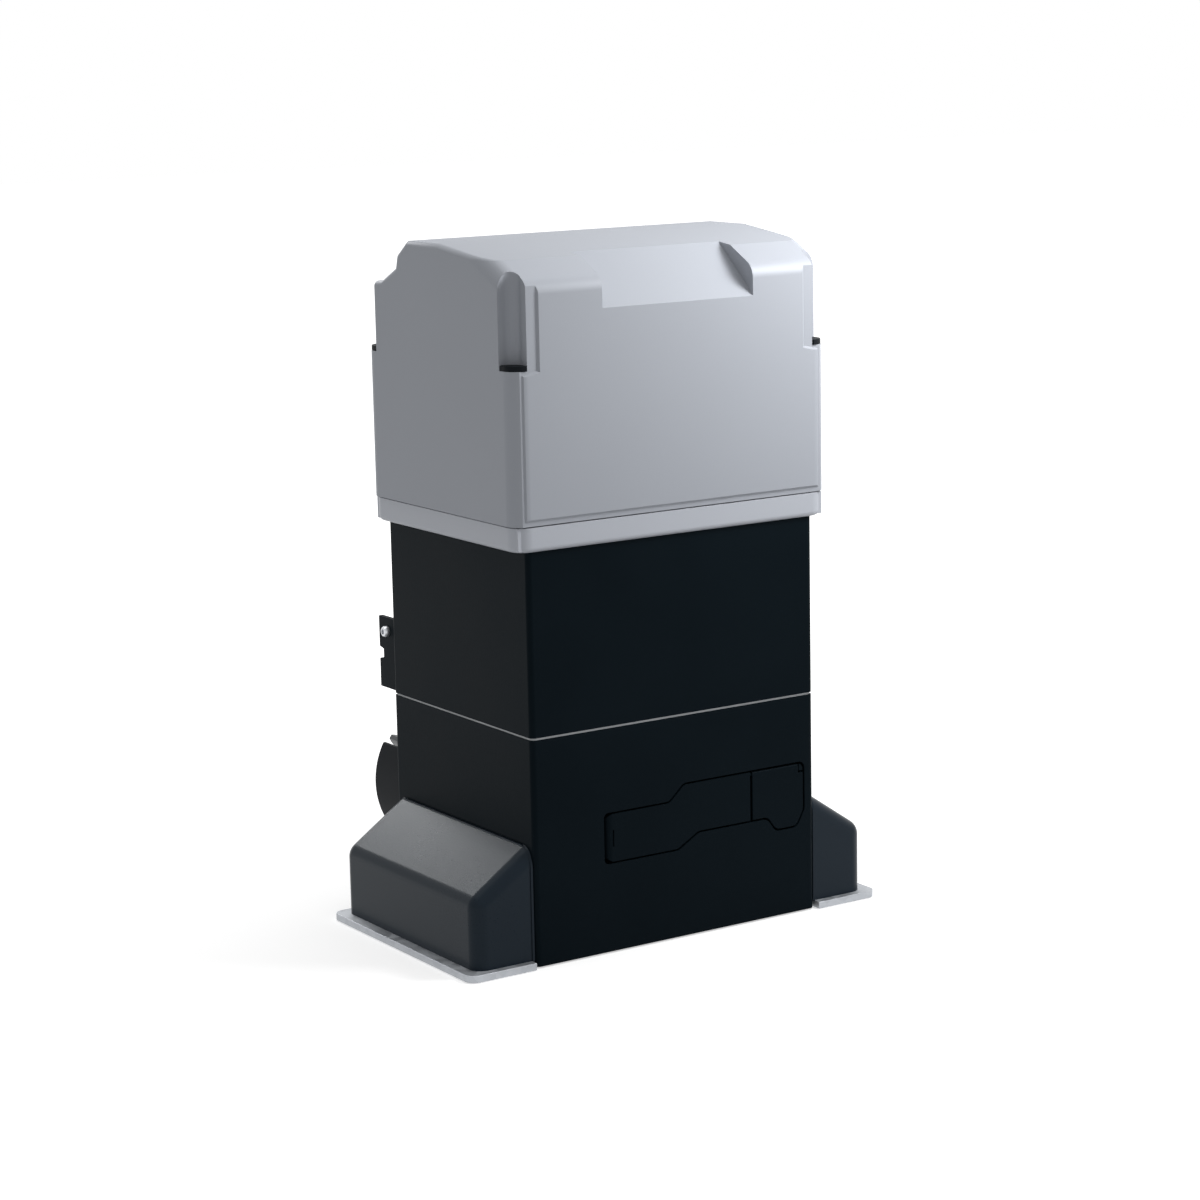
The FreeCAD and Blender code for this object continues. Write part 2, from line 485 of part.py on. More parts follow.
def helix_thread(pitch, radius_in, radius_out, half_root, half_tip, length, turns_angle):
    """A right-hand trapezoid thread about Z, centred on the origin, whose crest passes the given azimuth at height 0."""
    height = length + 2 * pitch
    spine = Part.makeHelix(pitch, height, radius_in)
    start = App.Vector(radius_in, 0, 0)
    profile = Part.makePolygon([
        start + App.Vector(-0.6, 0, -half_root * 1.06), start + App.Vector(radius_out - radius_in, 0, -half_tip),
        start + App.Vector(radius_out - radius_in, 0, half_tip), start + App.Vector(-0.6, 0, half_root * 1.06),
        start + App.Vector(-0.6, 0, -half_root * 1.06)])
    sweep = Part.BRepOffsetAPI.MakePipeShell(Part.Wire(spine.Edges))
    sweep.setFrenetMode(True)
    sweep.add(Part.Wire(profile.Edges))
    sweep.build()
    sweep.makeSolid()
    thread = sweep.shape()
    turns = height / pitch
    thread.translate(App.Vector(0, 0, -height / 2))
    # at height 0 the crest has turned by half of all its turns
    thread.rotate(App.Vector(), App.Vector(0, 0, 1), turns_angle - 360 * (turns / 2 % 1))
    return thread


def worm():
    """The rotor's shaft with its single-start worm, and the journals for its three bearings."""
    low = "body_split+gasket_thick"
    thread_low, thread_high = "shaft_height-worm_length/2", "shaft_height+worm_length/2"
    shaft = turned("rotor_journals", [
        ("0", "bath_floor+3"), ("rotor_bearing_bore", "bath_floor+3"),
        ("rotor_bearing_bore", "bath_floor+2+rotor_bearing_width"), ("worm_root", "bath_floor+2+rotor_bearing_width"),
        ("worm_root", f"{thread_high}+4"), ("rotor_shaft+2", f"{thread_high}+8"), ("rotor_shaft+2", f"{low}-15.4"),
        ("rotor_shaft", f"{low}-15.4"), ("rotor_shaft", "shield_height-rotor_bearing_width+8"),
        ("rotor_bearing_bore", "shield_height-rotor_bearing_width+8"), ("rotor_bearing_bore", "tray_top-4"),
        ("0", "tray_top-4")], ROTOR)
    doc.recompute()
    pitch = math.pi * size("worm_module")
    tip, root, pitch_radius = size("worm_tip"), size("worm_root"), size("worm_pitch_radius")
    slope = math.tan(math.radians(20))
    half = pitch / 4 - 0.06
    thread = helix_thread(pitch, root, tip, half + (pitch_radius - root) * slope, half - (tip - pitch_radius) * slope,
                          size("worm_length"), 180)
    thread.translate(App.Vector(worth(ROTOR_X), 0, size("shaft_height")))
    window = Part.makeBox(60, 60, size("worm_length"),
                          App.Vector(worth(ROTOR_X) - 30, -30, worth(thread_low)))
    solid = shaft.Shape.fuse(thread.common(window))
    piece = doc.addObject("Part::Feature", "worm_solid")
    piece.Shape = solid.removeSplitter()
    node(piece, "worm_shaft")


def gear_outline(teeth, module, tip, root, backlash, flank_steps=3):
    """Corner points of one tooth space's right side and left side at unit turn: involute flanks from root to tip."""
    pitch = module * teeth / 2
    base = pitch * math.cos(math.radians(20))

    def roll(radius):
        spread = math.acos(min(1.0, base / radius))
        return math.tan(spread) - spread

    half_tooth = math.pi / (2 * teeth) - backlash / (2 * pitch) + roll(pitch)
    start = max(root, base * 1.0001)
    radii = [start + (tip - start) * step / flank_steps for step in range(flank_steps + 1)]
    return [(radius, half_tooth - roll(radius)) for radius in radii]


def gear_wire(teeth, module, tip, root, backlash, turn, depth):
    """A closed wire of a whole gear in the XZ plane at y = depth, one tooth centred at the given turn from +X."""
    flank = gear_outline(teeth, module, tip, root, backlash)
    edges = []

    def spot(radius, angle):
        return App.Vector(radius * math.cos(angle), depth, -radius * math.sin(angle))

    for tooth in range(teeth):
        middle = turn + 2 * math.pi * tooth / teeth
        rising = [spot(r, middle - a) for r, a in flank]
        falling = [spot(r, middle + a) for r, a in reversed(flank)]
        foot = [spot(root, middle - flank[0][1]), spot(root, middle + flank[0][1])]
        start = [foot[0]] + rising if root < flank[0][0] - 0.01 else rising
        end = falling + [foot[1]] if root < flank[0][0] - 0.01 else falling
        edges += [Part.LineSegment(a, b).toShape() for a, b in zip(start, start[1:])]
        edges.append(Part.Arc(rising[-1], spot(tip, middle), falling[0]).toShape())
        edges += [Part.LineSegment(a, b).toShape() for a, b in zip(end, end[1:])]
        next_start = turn + 2 * math.pi * (tooth + 1) / teeth - flank[0][1]
        here = middle + flank[0][1]
        edges.append(Part.Arc(end[-1], spot(root, (here + next_start) / 2), spot(root, next_start)).toShape())
    return Part.Wire(edges)


def worm_wheel():
    """A bronze wheel whose teeth lean with the worm's thread, on a hub between the clutch linings."""
    module, teeth, width = size("worm_module"), int(size("wheel_teeth")), size("wheel_width")
    pitch = module * teeth / 2
    twist = 1 / (pitch * size("worm_pitch_radius") / (module / 2))
    tip, root = pitch + module, pitch - 1.24 * module
    wires = []
    for depth in (-width / 2, -width / 6, width / 6, width / 2):
        wires.append(gear_wire(teeth, module, tip, root, 0.25, math.pi / teeth + twist * depth, depth))
    rim = Part.makeLoft(wires, True, True)
    hub = Part.makeCylinder(size("hub_radius"), 2 * size("hub_half"), App.Vector(0, -size("hub_half"), 0),
                            App.Vector(0, 1, 0))
    bore = Part.makeCylinder(size("shaft_radius") + size("fit"), 80, App.Vector(0, -40, 0), App.Vector(0, 1, 0))
    piece = doc.addObject("Part::Feature", "wheel_solid")
    piece.Shape = rim.fuse(hub).cut(bore)
    piece.Placement = App.Placement(App.Vector(size("shaft_x"), 0, size("shaft_height")), App.Rotation())
    node(piece, "worm_wheel")


def pinion():
    module, teeth = size("pinion_module"), int(size("pinion_teeth"))
    pitch = module * teeth / 2
    start, width = size("pinion_start"), size("pinion_width")
    wire = gear_wire(teeth, module, pitch + module, pitch - 1.25 * module, 0.2, math.pi / 2, start)
    teeth_solid = Part.Face(wire).extrude(App.Vector(0, width, 0))
    blank = doc.addObject("Part::Feature", "pinion_teeth_solid")
    blank.Shape = teeth_solid
    blank.Placement = App.Placement(App.Vector(size("shaft_x"), 0, size("shaft_height")), App.Rotation())
    hub = rod("pinion_hub_solid", "pinion_hub_radius", "pinion_start-pinion_hub+1",
              ("shaft_x", "pinion_hub", "shaft_height"), "Y")
    bore = rod("pinion_bore", "neck_radius+fit", "80", ("shaft_x", "pinion_hub-5", "shaft_height"), "Y")
    recess = rod("pinion_washer_room", "neck_radius+5", "20", ("shaft_x", "pinion_end-8", "shaft_height"), "Y")
    keyway = box("pinion_keyway", ("shaft_x-4", "shaft_x+4"), ("pinion_hub-5", "pinion_end+5"),
                 ("shaft_height", "shaft_height+neck_radius+3.3"))
    face = "pinion_start+pinion_width"
    groove = [("pinion_hub_radius+1", f"{face}-3"), ("pinion_module*(pinion_teeth/2-2.6)", f"{face}-3"),
              ("pinion_module*(pinion_teeth/2-2.6)", f"{face}+2"), ("pinion_hub_radius+1", f"{face}+2")]
    dish = turned("pinion_dish", groove, OUTPUT, "Y")
    node(cut("pinion_gear", join("pinion_whole", blank, hub), bore, recess, keyway, dish), "pinion")
    node(box("key", ("shaft_x-3.95", "shaft_x+3.95"), ("pinion_hub+3", "pinion_end-9"),
             ("shaft_height+neck_radius-4", "shaft_height+neck_radius+3")), "pinion_key")
    washer = ring("end_washer", "neck_radius+4", "5.3", "pinion_end-8", "3")
    head = hexagon("pinion_bolt_head", "16", "5", ("shaft_x", "pinion_end-5", "shaft_height"), "Y")
    shank = rod("pinion_bolt_shank", "5", "25", ("shaft_x", "pinion_end-29", "shaft_height"), "Y")
    node(group("pinion_fixing", join("pinion_screw", head, shank), washer), "pinion_bolt")


GUARD_HOLE_X, GUARD_HOLE_Z = ("shaft_x-26", "shaft_x+26"), "shaft_height-26"


def guard():
    """The hood round the pinion's lower half, open above for the rack and behind."""
    inner = "pinion_module*(pinion_teeth/2+1)+guard_gap"
    drum = rod("guard_drum", f"{inner}+guard_wall", f"guard_end-{HALF_D}", ("shaft_x", HALF_D, "shaft_height"), "Y")
    room = rod("guard_room", inner, "60", ("shaft_x", f"{HALF_D}+guard_plate", "shaft_height"), "Y")
    way = rod("guard_hub_way", "pinion_hub_radius+3", "60", ("shaft_x", f"{HALF_D}-5", "shaft_height"), "Y")
    above = box("guard_above", ("shaft_x-100", "shaft_x+100"), (f"{HALF_D}-5", "guard_end+5"),
                ("guard_top", "guard_top+60"))
    holes = [rod(f"guard_hole{i}", "2.2", "20", (x, f"{HALF_D}-5", GUARD_HOLE_Z), "Y")
             for i, x in enumerate(GUARD_HOLE_X)]
    node(cut("guard", drum, room, way, above, *holes), "pinion_guard")


# ---------------------------------------------------------------- output shaft, clutch and release rod
def output_shaft():
    flange = "-(hub_half+clutch_disc)"
    profile = [("0", "front_bearing+1"), ("shaft_radius", "front_bearing+1"),
               ("shaft_radius", "front_bearing+bearing_width"), ("shaft_radius+4", "front_bearing+bearing_width"),
               ("shaft_radius+4", f"{flange}-6"), ("hub_radius", f"{flange}-6"), ("hub_radius", flange),
               ("shaft_radius", flange), ("shaft_radius", f"{HALF_D}"), ("neck_radius", f"{HALF_D}"),
               ("neck_radius", "pinion_end-8.5"), ("0", "pinion_end-8.5")]
    bar = turned("shaft_bar", profile, OUTPUT, "Y")
    pin_y = "hub_half+clutch_disc+pressure_thick/2"
    bore = rod("shaft_rod_bore", "rod_bore", f"{pin_y}+release_travel+7-front_bearing",
               ("shaft_x", "front_bearing", "shaft_height"), "Y")
    slot = box("cross_pin_slot", ("shaft_x-shaft_radius-5", "shaft_x+shaft_radius+5"),
               (f"{pin_y}-cross_pin-0.6", f"{pin_y}+cross_pin+release_travel+0.6"),
               ("shaft_height-cross_pin-0.3", "shaft_height+cross_pin+0.3"))
    tap = rod("shaft_end_tap", "5", "60", ("shaft_x", "pinion_end-30", "shaft_height"), "Y")
    keyway = box("shaft_keyway", ("shaft_x-4", "shaft_x+4"), ("pinion_hub+3", "pinion_end-9"),
                 ("shaft_height+neck_radius-4", "shaft_height+shaft_radius+9"))
    node(cut("shaft_cut", bar, bore, slot, tap, keyway), "output_shaft")
    front = "-(hub_half+clutch_disc)"
    node(group("linings", ring("lining_front", "hub_radius-1", "shaft_radius+2", front, "clutch_disc"),
               ring("lining_back", "hub_radius-1", "shaft_radius+2", "hub_half", "clutch_disc")), "friction_discs")
    spring_low = "hub_half+clutch_disc+pressure_thick"
    spring = turned("disc_spring", [("shaft_radius+fit", f"{spring_low}"), ("shaft_radius+2", f"{spring_low}"),
                                    ("hub_radius-3", f"{spring_low}+spring_length/2-1.5"),
                                    ("shaft_radius+2", f"{spring_low}+spring_length"),
                                    ("shaft_radius+fit", f"{spring_low}+spring_length")], OUTPUT, "Y")
    node(spring, "clutch_springs")
    nut_low = f"{spring_low}+spring_length"
    node(cut("clutch_ring_nut", hexagon("clutch_nut_blank", "46", "clutch_nut_thick",
                                        ("shaft_x", nut_low, "shaft_height"), "Y"),
             rod("clutch_nut_bore", "shaft_radius+fit", "40", ("shaft_x", f"{nut_low}-5", "shaft_height"), "Y")),
         "clutch_nut")
    middle = "(shaft_radius+bearing_radius)/2"
    outer, inner = [], []
    for name, start in (("front", "front_bearing"), ("rear", "rear_bearing")):
        outer.append(turned(f"{name}_race_out", [
            (f"{middle}+race/2", start), ("bearing_radius-fit", start),
            ("bearing_radius-fit", f"{start}+bearing_width"), (f"{middle}+race/2", f"{start}+bearing_width")],
            OUTPUT, "Y"))
        inner.append(ring(f"{name}_race_in", f"{middle}-race/2", "shaft_radius", start, "bearing_width"))
    node(group("output_outer_rings", *outer), "output_bearing_outer_rings")
    node(group("output_inner_rings", *inner), "output_bearing_inner_rings")
    spacer_low = "rear_bearing+bearing_width"
    node(ring("shaft_spacer_ring", "shaft_radius+3", "shaft_radius", spacer_low, f"pinion_hub-({spacer_low})"),
         "pinion_spacer")


def release_rod():
    pin_y = "hub_half+clutch_disc+pressure_thick/2"
    head = "pivot_y+7.507+slack"
    bar = turned("release_rod_bar", [("0", head), ("6.2", head), ("7", f"{head}+0.8"), ("7", f"{head}+2"),
                                     ("rod_radius", f"{head}+2"), ("rod_radius", f"{pin_y}+6"), ("0", f"{pin_y}+6")],
                 OUTPUT, "Y")
    hole = rod("rod_cross_bore", "cross_pin", "30", ("shaft_x-15", pin_y, "shaft_height"), "X")
    node(cut("release_bar", bar, hole), "release_rod")
    node(rod("cross_dowel", "cross_pin", "hub_radius*2-4", ("shaft_x-hub_radius+2", pin_y, "shaft_height"), "X"),
         "cross_pin_dowel")
    plate = ring("pressure_ring", "hub_radius", "shaft_radius+slack", "hub_half+clutch_disc", "pressure_thick")
    node(cut("pressure_plate_cut", plate, rod("pressure_pin_bore", "cross_pin", "hub_radius*2-4",
                                              ("shaft_x-hub_radius+2", pin_y, "shaft_height"), "X")),
         "pressure_plate")


# ---------------------------------------------------------------- release lever, lock and flap
def lever_plan():
    """The lever from above: a bar with a cam tail behind the pin, and a rounded outer corner."""
    px, py = size("pivot_x"), size("pivot_y")
    low, rise, corner = size("cam_low"), size("release_travel"), size("lever_corner")
    cam = []
    for step in range(7):
        turn = math.pi / 2 * step / 6
        radius = low + rise * step / 6
        cam.append(App.Vector(px - radius * math.sin(turn), py + radius * math.cos(turn), 0))
    curve = Part.BSplineCurve()
    curve.interpolate(cam)
    face, end = size("lever_face"), size("recess_right") - 1.5
    tail = cam[-1]
    corner_low = App.Vector(tail.x + corner, face, 0)
    corner_side = App.Vector(tail.x, face + corner, 0)
    bend = App.Vector(tail.x + corner * (1 - math.sqrt(0.5)), face + corner * (1 - math.sqrt(0.5)), 0)
    front, back = App.Vector(end, face, 0), App.Vector(end, size("lever_back"), 0)
    edges = [curve.toShape(), Part.LineSegment(tail, corner_side).toShape(),
             Part.Arc(corner_side, bend, corner_low).toShape(), Part.LineSegment(corner_low, front).toShape(),
             Part.LineSegment(front, back).toShape(), Part.LineSegment(back, cam[0]).toShape()]
    return Part.Face(Part.Wire(edges))


def lever():
    plan = doc.addObject("Part::Feature", "lever_plan")
    plan.Shape = lever_plan().extrude(App.Vector(0, 0, size("recess_high") + 20))
    gap = "lever_gap"
    form = padded("lever_form", "XZ", recess_points(gap), "lever_face-5", "lever_back-lever_face+10", LEVER_ROUNDS)
    blank = overlap("lever_blank", form, plan)
    window = box("flap_room", ("flap_left-flap_seam", "recess_right+5"), ("lever_face-5", "lever_face+flap_thick+0.4"),
                 ("recess_low-5", "recess_high+5"))
    ear_zone = box("flap_ear_zone", ("recess_right-4", "recess_right-1.5"), ("lever_face", "lever_face+flap_thick+1"),
                   ("recess_high-lever_gap-4", "recess_high-lever_gap"))
    ear = overlap("flap_ear", form, ear_zone)
    pin_bore = rod("lever_pin_way", "pivot_pin+fit", "80", ("pivot_x", "pivot_y", "recess_low-20"))
    lock_bore = rod("lock_case_bore", "lock_case", "40", ("lock_x", "lever_face-10", "lock_height"), "Y")
    hollow = padded("lever_relief", "XZ", [("-22", "recess_low+5"), ("-2", "recess_low+5"), ("12", "recess_waist+5"),
                                           ("46", "recess_waist+5"), ("46", "recess_high-5"), ("6", "recess_high-5"),
                                           ("-5", "recess_step-5"), ("-22", "recess_step-5")],
                    "lever_face+4", "20")
    flap_hinge = ("flap_left-4", "lever_face+flap_thick/2", "recess_high-lever_gap-flap_thick/2")
    hinge_bore = rod("flap_pin_bore", "flap_pin", "45", flap_hinge, "X")
    body = join("lever_with_ear", cut("lever_cut", blank, window), ear)
    mark = box("lever_groove", ("recess_left+5.5", "recess_left+6.5"), ("lever_face-1", "lever_face+0.8"),
               ("recess_low+9.5", "recess_step-10"))
    node(cut("lever_solid", body, pin_bore, lock_bore, hollow, hinge_bore, mark), "release_lever")
    node(rod("flap_hinge_pin", "flap_pin-fit", "recess_right-1.5-flap_left+4", flap_hinge, "X"), "flap_pin")
    node(ring("lock_case_ring", "lock_case-fit", "lock_radius+fit", "lever_face+flap_thick+0.6",
              "lever_back+2.2-lever_face-flap_thick-0.6", ("lock_x", "0", "lock_height")), "lock_case")

    # the flap hangs from a pin along its rounded top edge, in front of the lock
    panel = padded("flap_form", "XZ", recess_points(gap), "lever_face", "flap_thick", LEVER_ROUNDS)
    zone = box("flap_zone", ("flap_left", "recess_right+5"), ("lever_face-5", "lever_back"),
               ("recess_low-5", "recess_high-lever_gap-flap_thick/2"))
    roll = rod("flap_knuckle", "flap_thick/2", "recess_right-4.4-flap_left",
               ("flap_left", "lever_face+flap_thick/2", "recess_high-lever_gap-flap_thick/2"), "X")
    notch = box("flap_ear_room", ("recess_right-4.4", "recess_right+5"), ("lever_face-5", "lever_back"),
                ("recess_high-lever_gap-flap_thick/2-3.7", "recess_high+5"))
    way = rod("flap_pin_way", "flap_pin+fit", "60", ("flap_left-10", "lever_face+flap_thick/2",
                                                      "recess_high-lever_gap-flap_thick/2"), "X")
    node(cut("flap_cut", join("flap_join", overlap("flap_panel", panel, zone), roll), notch, way), "lock_flap")

    plug = rod("lock_plug", "lock_radius", "lever_back+2.6-lever_face-flap_thick-1",
               ("lock_x", "lever_face+flap_thick+1", "lock_height"), "Y")
    slot = box("key_slot", ("lock_x-1", "lock_x+1"), ("lever_face", "lever_face+flap_thick+9"),
               ("lock_height-4", "lock_height+4"))
    node(cut("lock_plug_cut", plug, slot), "lock_cylinder")
    tail = padded("tail_bar", "XZ", [("lock_x-tail_half-1.5", "lock_height-4"), ("lock_x+tail_half+1.5", "lock_height-4"),
                                     ("lock_x+tail_half", "lock_height+tail_length"),
                                     ("lock_x-tail_half", "lock_height+tail_length")],
                  "lever_back+2.6", "2.6", [((0, 1), "3"), ((2, 3), "1.5")])
    node(tail, "lock_tail")


# ---------------------------------------------------------------- tray and cover
def tray():
    wide, deep = "cover_width/2", "cover_depth/2"
    pan = slab("tray_block", f"{wide}-1", f"{deep}-1", "body_top", "tray_top-body_top-cover_seam", "cover_corner")
    fillet(pan, pan.Tip, "tray_bevel", lambda e: abs(e.BoundBox.ZMax - size("body_top")) < 0.01, 1)
    room = slab("tray_room", f"{wide}-4", f"{deep}-4", "body_top+tray_floor", "30", "cover_corner-3")
    boss = box("tray_boss", (f"{wide}-column_width", f"{wide}-3"), (f"{deep}-column_depth", f"{deep}-3"),
               ("body_top+1", "tray_top-cover_seam"))
    shell = join("tray_solid", cut("tray_hollow", pan, room), four("tray_bosses", boss))
    way = rod("tray_rotor_way", "19", "40", (ROTOR_X, "0", "body_top-10"))
    duct = box("tray_duct", ("duct_x-duct_width/2", "duct_x+duct_width/2"),
               ("duct_y-duct_depth/2", "duct_y+duct_depth/2"), ("body_top-5", "tray_top"))
    tap = rod("tray_tap", "2.4", "40", (f"{wide}-channel_width/2-1", f"{deep}-channel_depth/2-1", "body_top+2"))
    screw = (f"{HALF_W}-body_wall-2", f"{HALF_D}-body_wall-2")
    hole = rod("tray_screw_hole", "2.8", "40", (*screw, "body_top-5"))
    head = rod("tray_screw_room", "5.4", "40", (*screw, "body_top+tray_floor"))
    node(cut("tray", shell, way, duct, four("tray_taps", tap), four("tray_screw_holes", hole),
             four("tray_screw_rooms", head)), "cover_tray")
    bolt = turned("tray_screw", [("0", "body_top-12"), ("2.4", "body_top-12"), ("2.4", "body_top+tray_floor"),
                                 ("4.8", "body_top+tray_floor"), ("4.2", "body_top+tray_floor+3"),
                                 ("0", "body_top+tray_floor+3")], (*screw, "0"))
    node(four("tray_screw_set", bolt), "tray_screws")
    low, high = "body_top+1", "body_top+tray_floor+6"
    x = ("duct_x-duct_width/2", "duct_x+duct_width/2")
    y = ("duct_y-duct_depth/2", "duct_y+duct_depth/2")
    outer = box("grommet_outer", (f"{x[0]}+0.2", f"{x[1]}-0.2"), (f"{y[0]}+0.2", f"{y[1]}-0.2"), (low, high))
    inner = box("grommet_inner", (f"{x[0]}+2.2", f"{x[1]}-2.2"), (f"{y[0]}+2.2", f"{y[1]}-2.2"), ("body_top-5", "tray_top+5"))
    node(cut("grommet", outer, inner), "cable_grommet")


def cover_side(inset):
    """The cover from its left side, as (y, z) points drawn in by inset: a sloping front top, a flat top and a rear step."""
    deep = f"cover_depth/2-{inset}"
    top = f"cover_top-{inset}"
    return [(f"-({deep})", "tray_top"), (f"-({deep})", f"shoulder_height-{inset}*0.6"),
            (f"-cover_depth/2+21+{inset}*0.3", f"shoulder_height+11-{inset}"), (f"-4", top), (f"29-{inset}*0.5", top),
            (f"40-{inset}", f"cover_top-8-{inset}*0.6"), (f"42-{inset}", f"cover_top-15-{inset}"),
            (f"58-{inset}*0.4", f"rear_height+2-{inset}"), (deep, f"rear_height-{inset}"), (deep, "tray_top")]


def badge_cutter(name, inset):
    """What is cut off the front shoulder for the bare badge place, down to a flat face set deeper by inset."""
    rise = "((badge_top-badge_low)/(badge_back+cover_depth/2))"
    low, far = "-cover_depth/2-5", "badge_back+5"
    points = [(low, f"badge_low-5*{rise}-{inset}*1.35"), (far, f"badge_top+5*{rise}-{inset}*1.35"),
              (low, f"badge_top+5*{rise}-{inset}*1.35")]
    return padded(name, "YZ", points, f"badge_left-{inset}", f"badge_right-badge_left+2*{inset}")


def panel_border():
    """The strip round the front panel that lies panel_rise behind it, with a bevel between."""
    low, high = "tray_top+2.5", "ledge_height-2"
    points = [("-panel_edge", low), ("panel_edge", low), ("panel_edge", high), ("panel_neck", f"{high}+2"),
              ("panel_neck", "cover_top"), ("-panel_neck", "cover_top"), ("-panel_neck", f"{high}+2"),
              ("-panel_edge", high)]
    panel = padded("panel", "XZ", points, "-cover_depth/2", "panel_rise*2")
    front = -size("cover_depth") / 2
    fillet(panel, panel.Tip, "panel_rise", lambda e: abs(e.BoundBox.YMax - front) < 0.01, 0, "Chamfer")
    strip = box("panel_strip", ("-cover_width/2-1", "cover_width/2+1"),
                ("-cover_depth/2-1", "-cover_depth/2+panel_rise"), ("tray_top-1", "shoulder_height-0.5"))
    return cut("panel_border", strip, panel)


def cover():
    wide, deep = "cover_width/2", "cover_depth/2"
    body = doc.addObject("PartDesign::Body", "cover_form")
    sketch = outline(body, "YZ", cover_side("0"), f"-({wide})")
    pad = body.newObject("PartDesign::Pad", "cover_pad")
    pad.Profile = sketch
    bind(pad, Length="cover_width")
    doc.recompute()
    shoulder = fillet(body, pad, "shoulder_round", lambda e: along(e, (1, 0, 0))
                      and e.CenterOfMass.y < -size("cover_depth") / 2 + 1 and e.CenterOfMass.z > size("ledge_height"))
    upright = fillet(body, shoulder, "cover_corner", lambda e: along(e, (0, 0, 1)), 1)
    fillet(body, upright, "cover_soft", lambda e: abs(abs(e.CenterOfMass.x) - size("cover_width") / 2) < 0.01
           and e.CenterOfMass.z > size("ledge_height") + 5, 2)
    room = doc.addObject("PartDesign::Body", "cover_room")
    inner = outline(room, "YZ", cover_side("cover_wall"), f"-({wide}-cover_wall)")
    inner_pad = room.newObject("PartDesign::Pad", "cover_room_pad")
    inner_pad.Profile = inner
    bind(inner_pad, Length="cover_width-cover_wall*2")
    doc.recompute()
    fillet(room, inner_pad, "cover_corner-cover_wall", lambda e: along(e, (0, 0, 1)), 0)
    column = box("cover_column", (f"{wide}-column_width", wide), (f"{deep}-column_depth", deep),
                 ("tray_top-5", "cover_top+5"))
    hollow = cut("cover_hollow", room, four("cover_columns", column), badge_cutter("badge_wall", "cover_wall"))
    channel = padded("cover_channel", "XY", [
        (f"{wide}-channel_width", f"{deep}-channel_depth"), (f"{wide}+5", f"{deep}-channel_depth"),
        (f"{wide}+5", f"{deep}+5"), (f"{wide}-channel_width", f"{deep}+5")],
        "ledge_height", "cover_top-ledge_height+5", [((0,), "6")])
    screw_x, screw_y = f"{wide}-channel_width/2-1", f"{deep}-channel_depth/2-1"
    hole = rod("cover_screw_hole", "2.8", "cover_top", (screw_x, screw_y, "tray_top-5"))
    head = rod("cover_screw_room", "4.4", "cover_top", (screw_x, screw_y, "ledge_height-6"))
    node(cut("cover_shell", body, hollow, four("channels", channel), four("cover_screw_holes", hole),
             four("cover_screw_rooms", head), badge_cutter("badge_place", "0"), panel_border()), "top_cover")
    bolt = turned("cover_screw", [("0", "body_top+4"), ("2.3", "body_top+4"), ("2.3", "ledge_height-6"),
                                  ("4.1", "ledge_height-6"), ("4.1", "ledge_height-2"), ("2", "ledge_height-2"),
                                  ("2", "ledge_height-4"), ("0", "ledge_height-4")], (screw_x, screw_y, "0"))
    node(four("cover_screw_set", bolt), "cover_screws")
    cap = padded("cap_block", "XY", [
        (f"{wide}-channel_width+0.3", f"{deep}-channel_depth+0.3"), (f"{wide}-0.4", f"{deep}-channel_depth+0.3"),
        (f"{wide}-0.4", f"{deep}-0.4"), (f"{wide}-channel_width+0.3", f"{deep}-0.4")],
        "ledge_height", "cap_thick", [((0,), "6"), ((2,), "cover_corner-1")])
    node(four("cap_set", cap), "cover_screw_caps")


# ---------------------------------------------------------------- control unit under the cover
def electronics():
    floor = "body_top+tray_floor"
    half_w, half_d = "board_width/2", "board_depth/2"
    post = hexagon("board_post", "8", f"board_height-({floor})", (f"{half_w}-6", f"{half_d}-6", floor))
    node(four("board_posts", post), "board_standoffs")
    node(box("board", (f"-{half_w}", half_w), (f"-{half_d}", half_d), ("board_height", "board_height+board_thick")),
         "control_board")
    top = "board_height+board_thick"
    blocks = [box(f"terminal{i}", (f"-62+{i}*32", f"-33+{i}*32"), (f"{half_d}-13", f"{half_d}-1"), (top, f"{top}+12"))
              for i in range(4)]
    node(group("terminals", *blocks), "board_terminals")
    relays = [box(f"relay{i}", (f"-60+{i}*24", f"-41+{i}*24"), (f"-{half_d}+10", f"-{half_d}+26"), (top, f"{top}+16"))
              for i in range(2)]
    fuse = box("fuse", ("20", "48"), (f"-{half_d}+10", f"-{half_d}+18"), (top, f"{top}+10"))
    node(group("relays", *relays, fuse), "board_relays")
    core = box("transformer_core", ("-80", "-32"), ("-29", "29"), (floor, f"{floor}+40"))
    coil = box("transformer_coil", ("-74", "-38"), ("-37", "37"), (f"{floor}+8", f"{floor}+34"))
    node(join("transformer_whole", core, coil), "transformer")
    node(turned("capacitor_can", [("0", "0"), ("17", "0"), ("18", "1"), ("18", "49"), ("17", "50"), ("0", "50")],
                ("30", "-70", f"{floor}+18.3"), "Y"), "start_capacitor")
    node(box("encoder", (f"{ROTOR_X}+12", f"{ROTOR_X}+24"), ("-8", "8"), (floor, "tray_top-8.3")), "encoder_sensor")


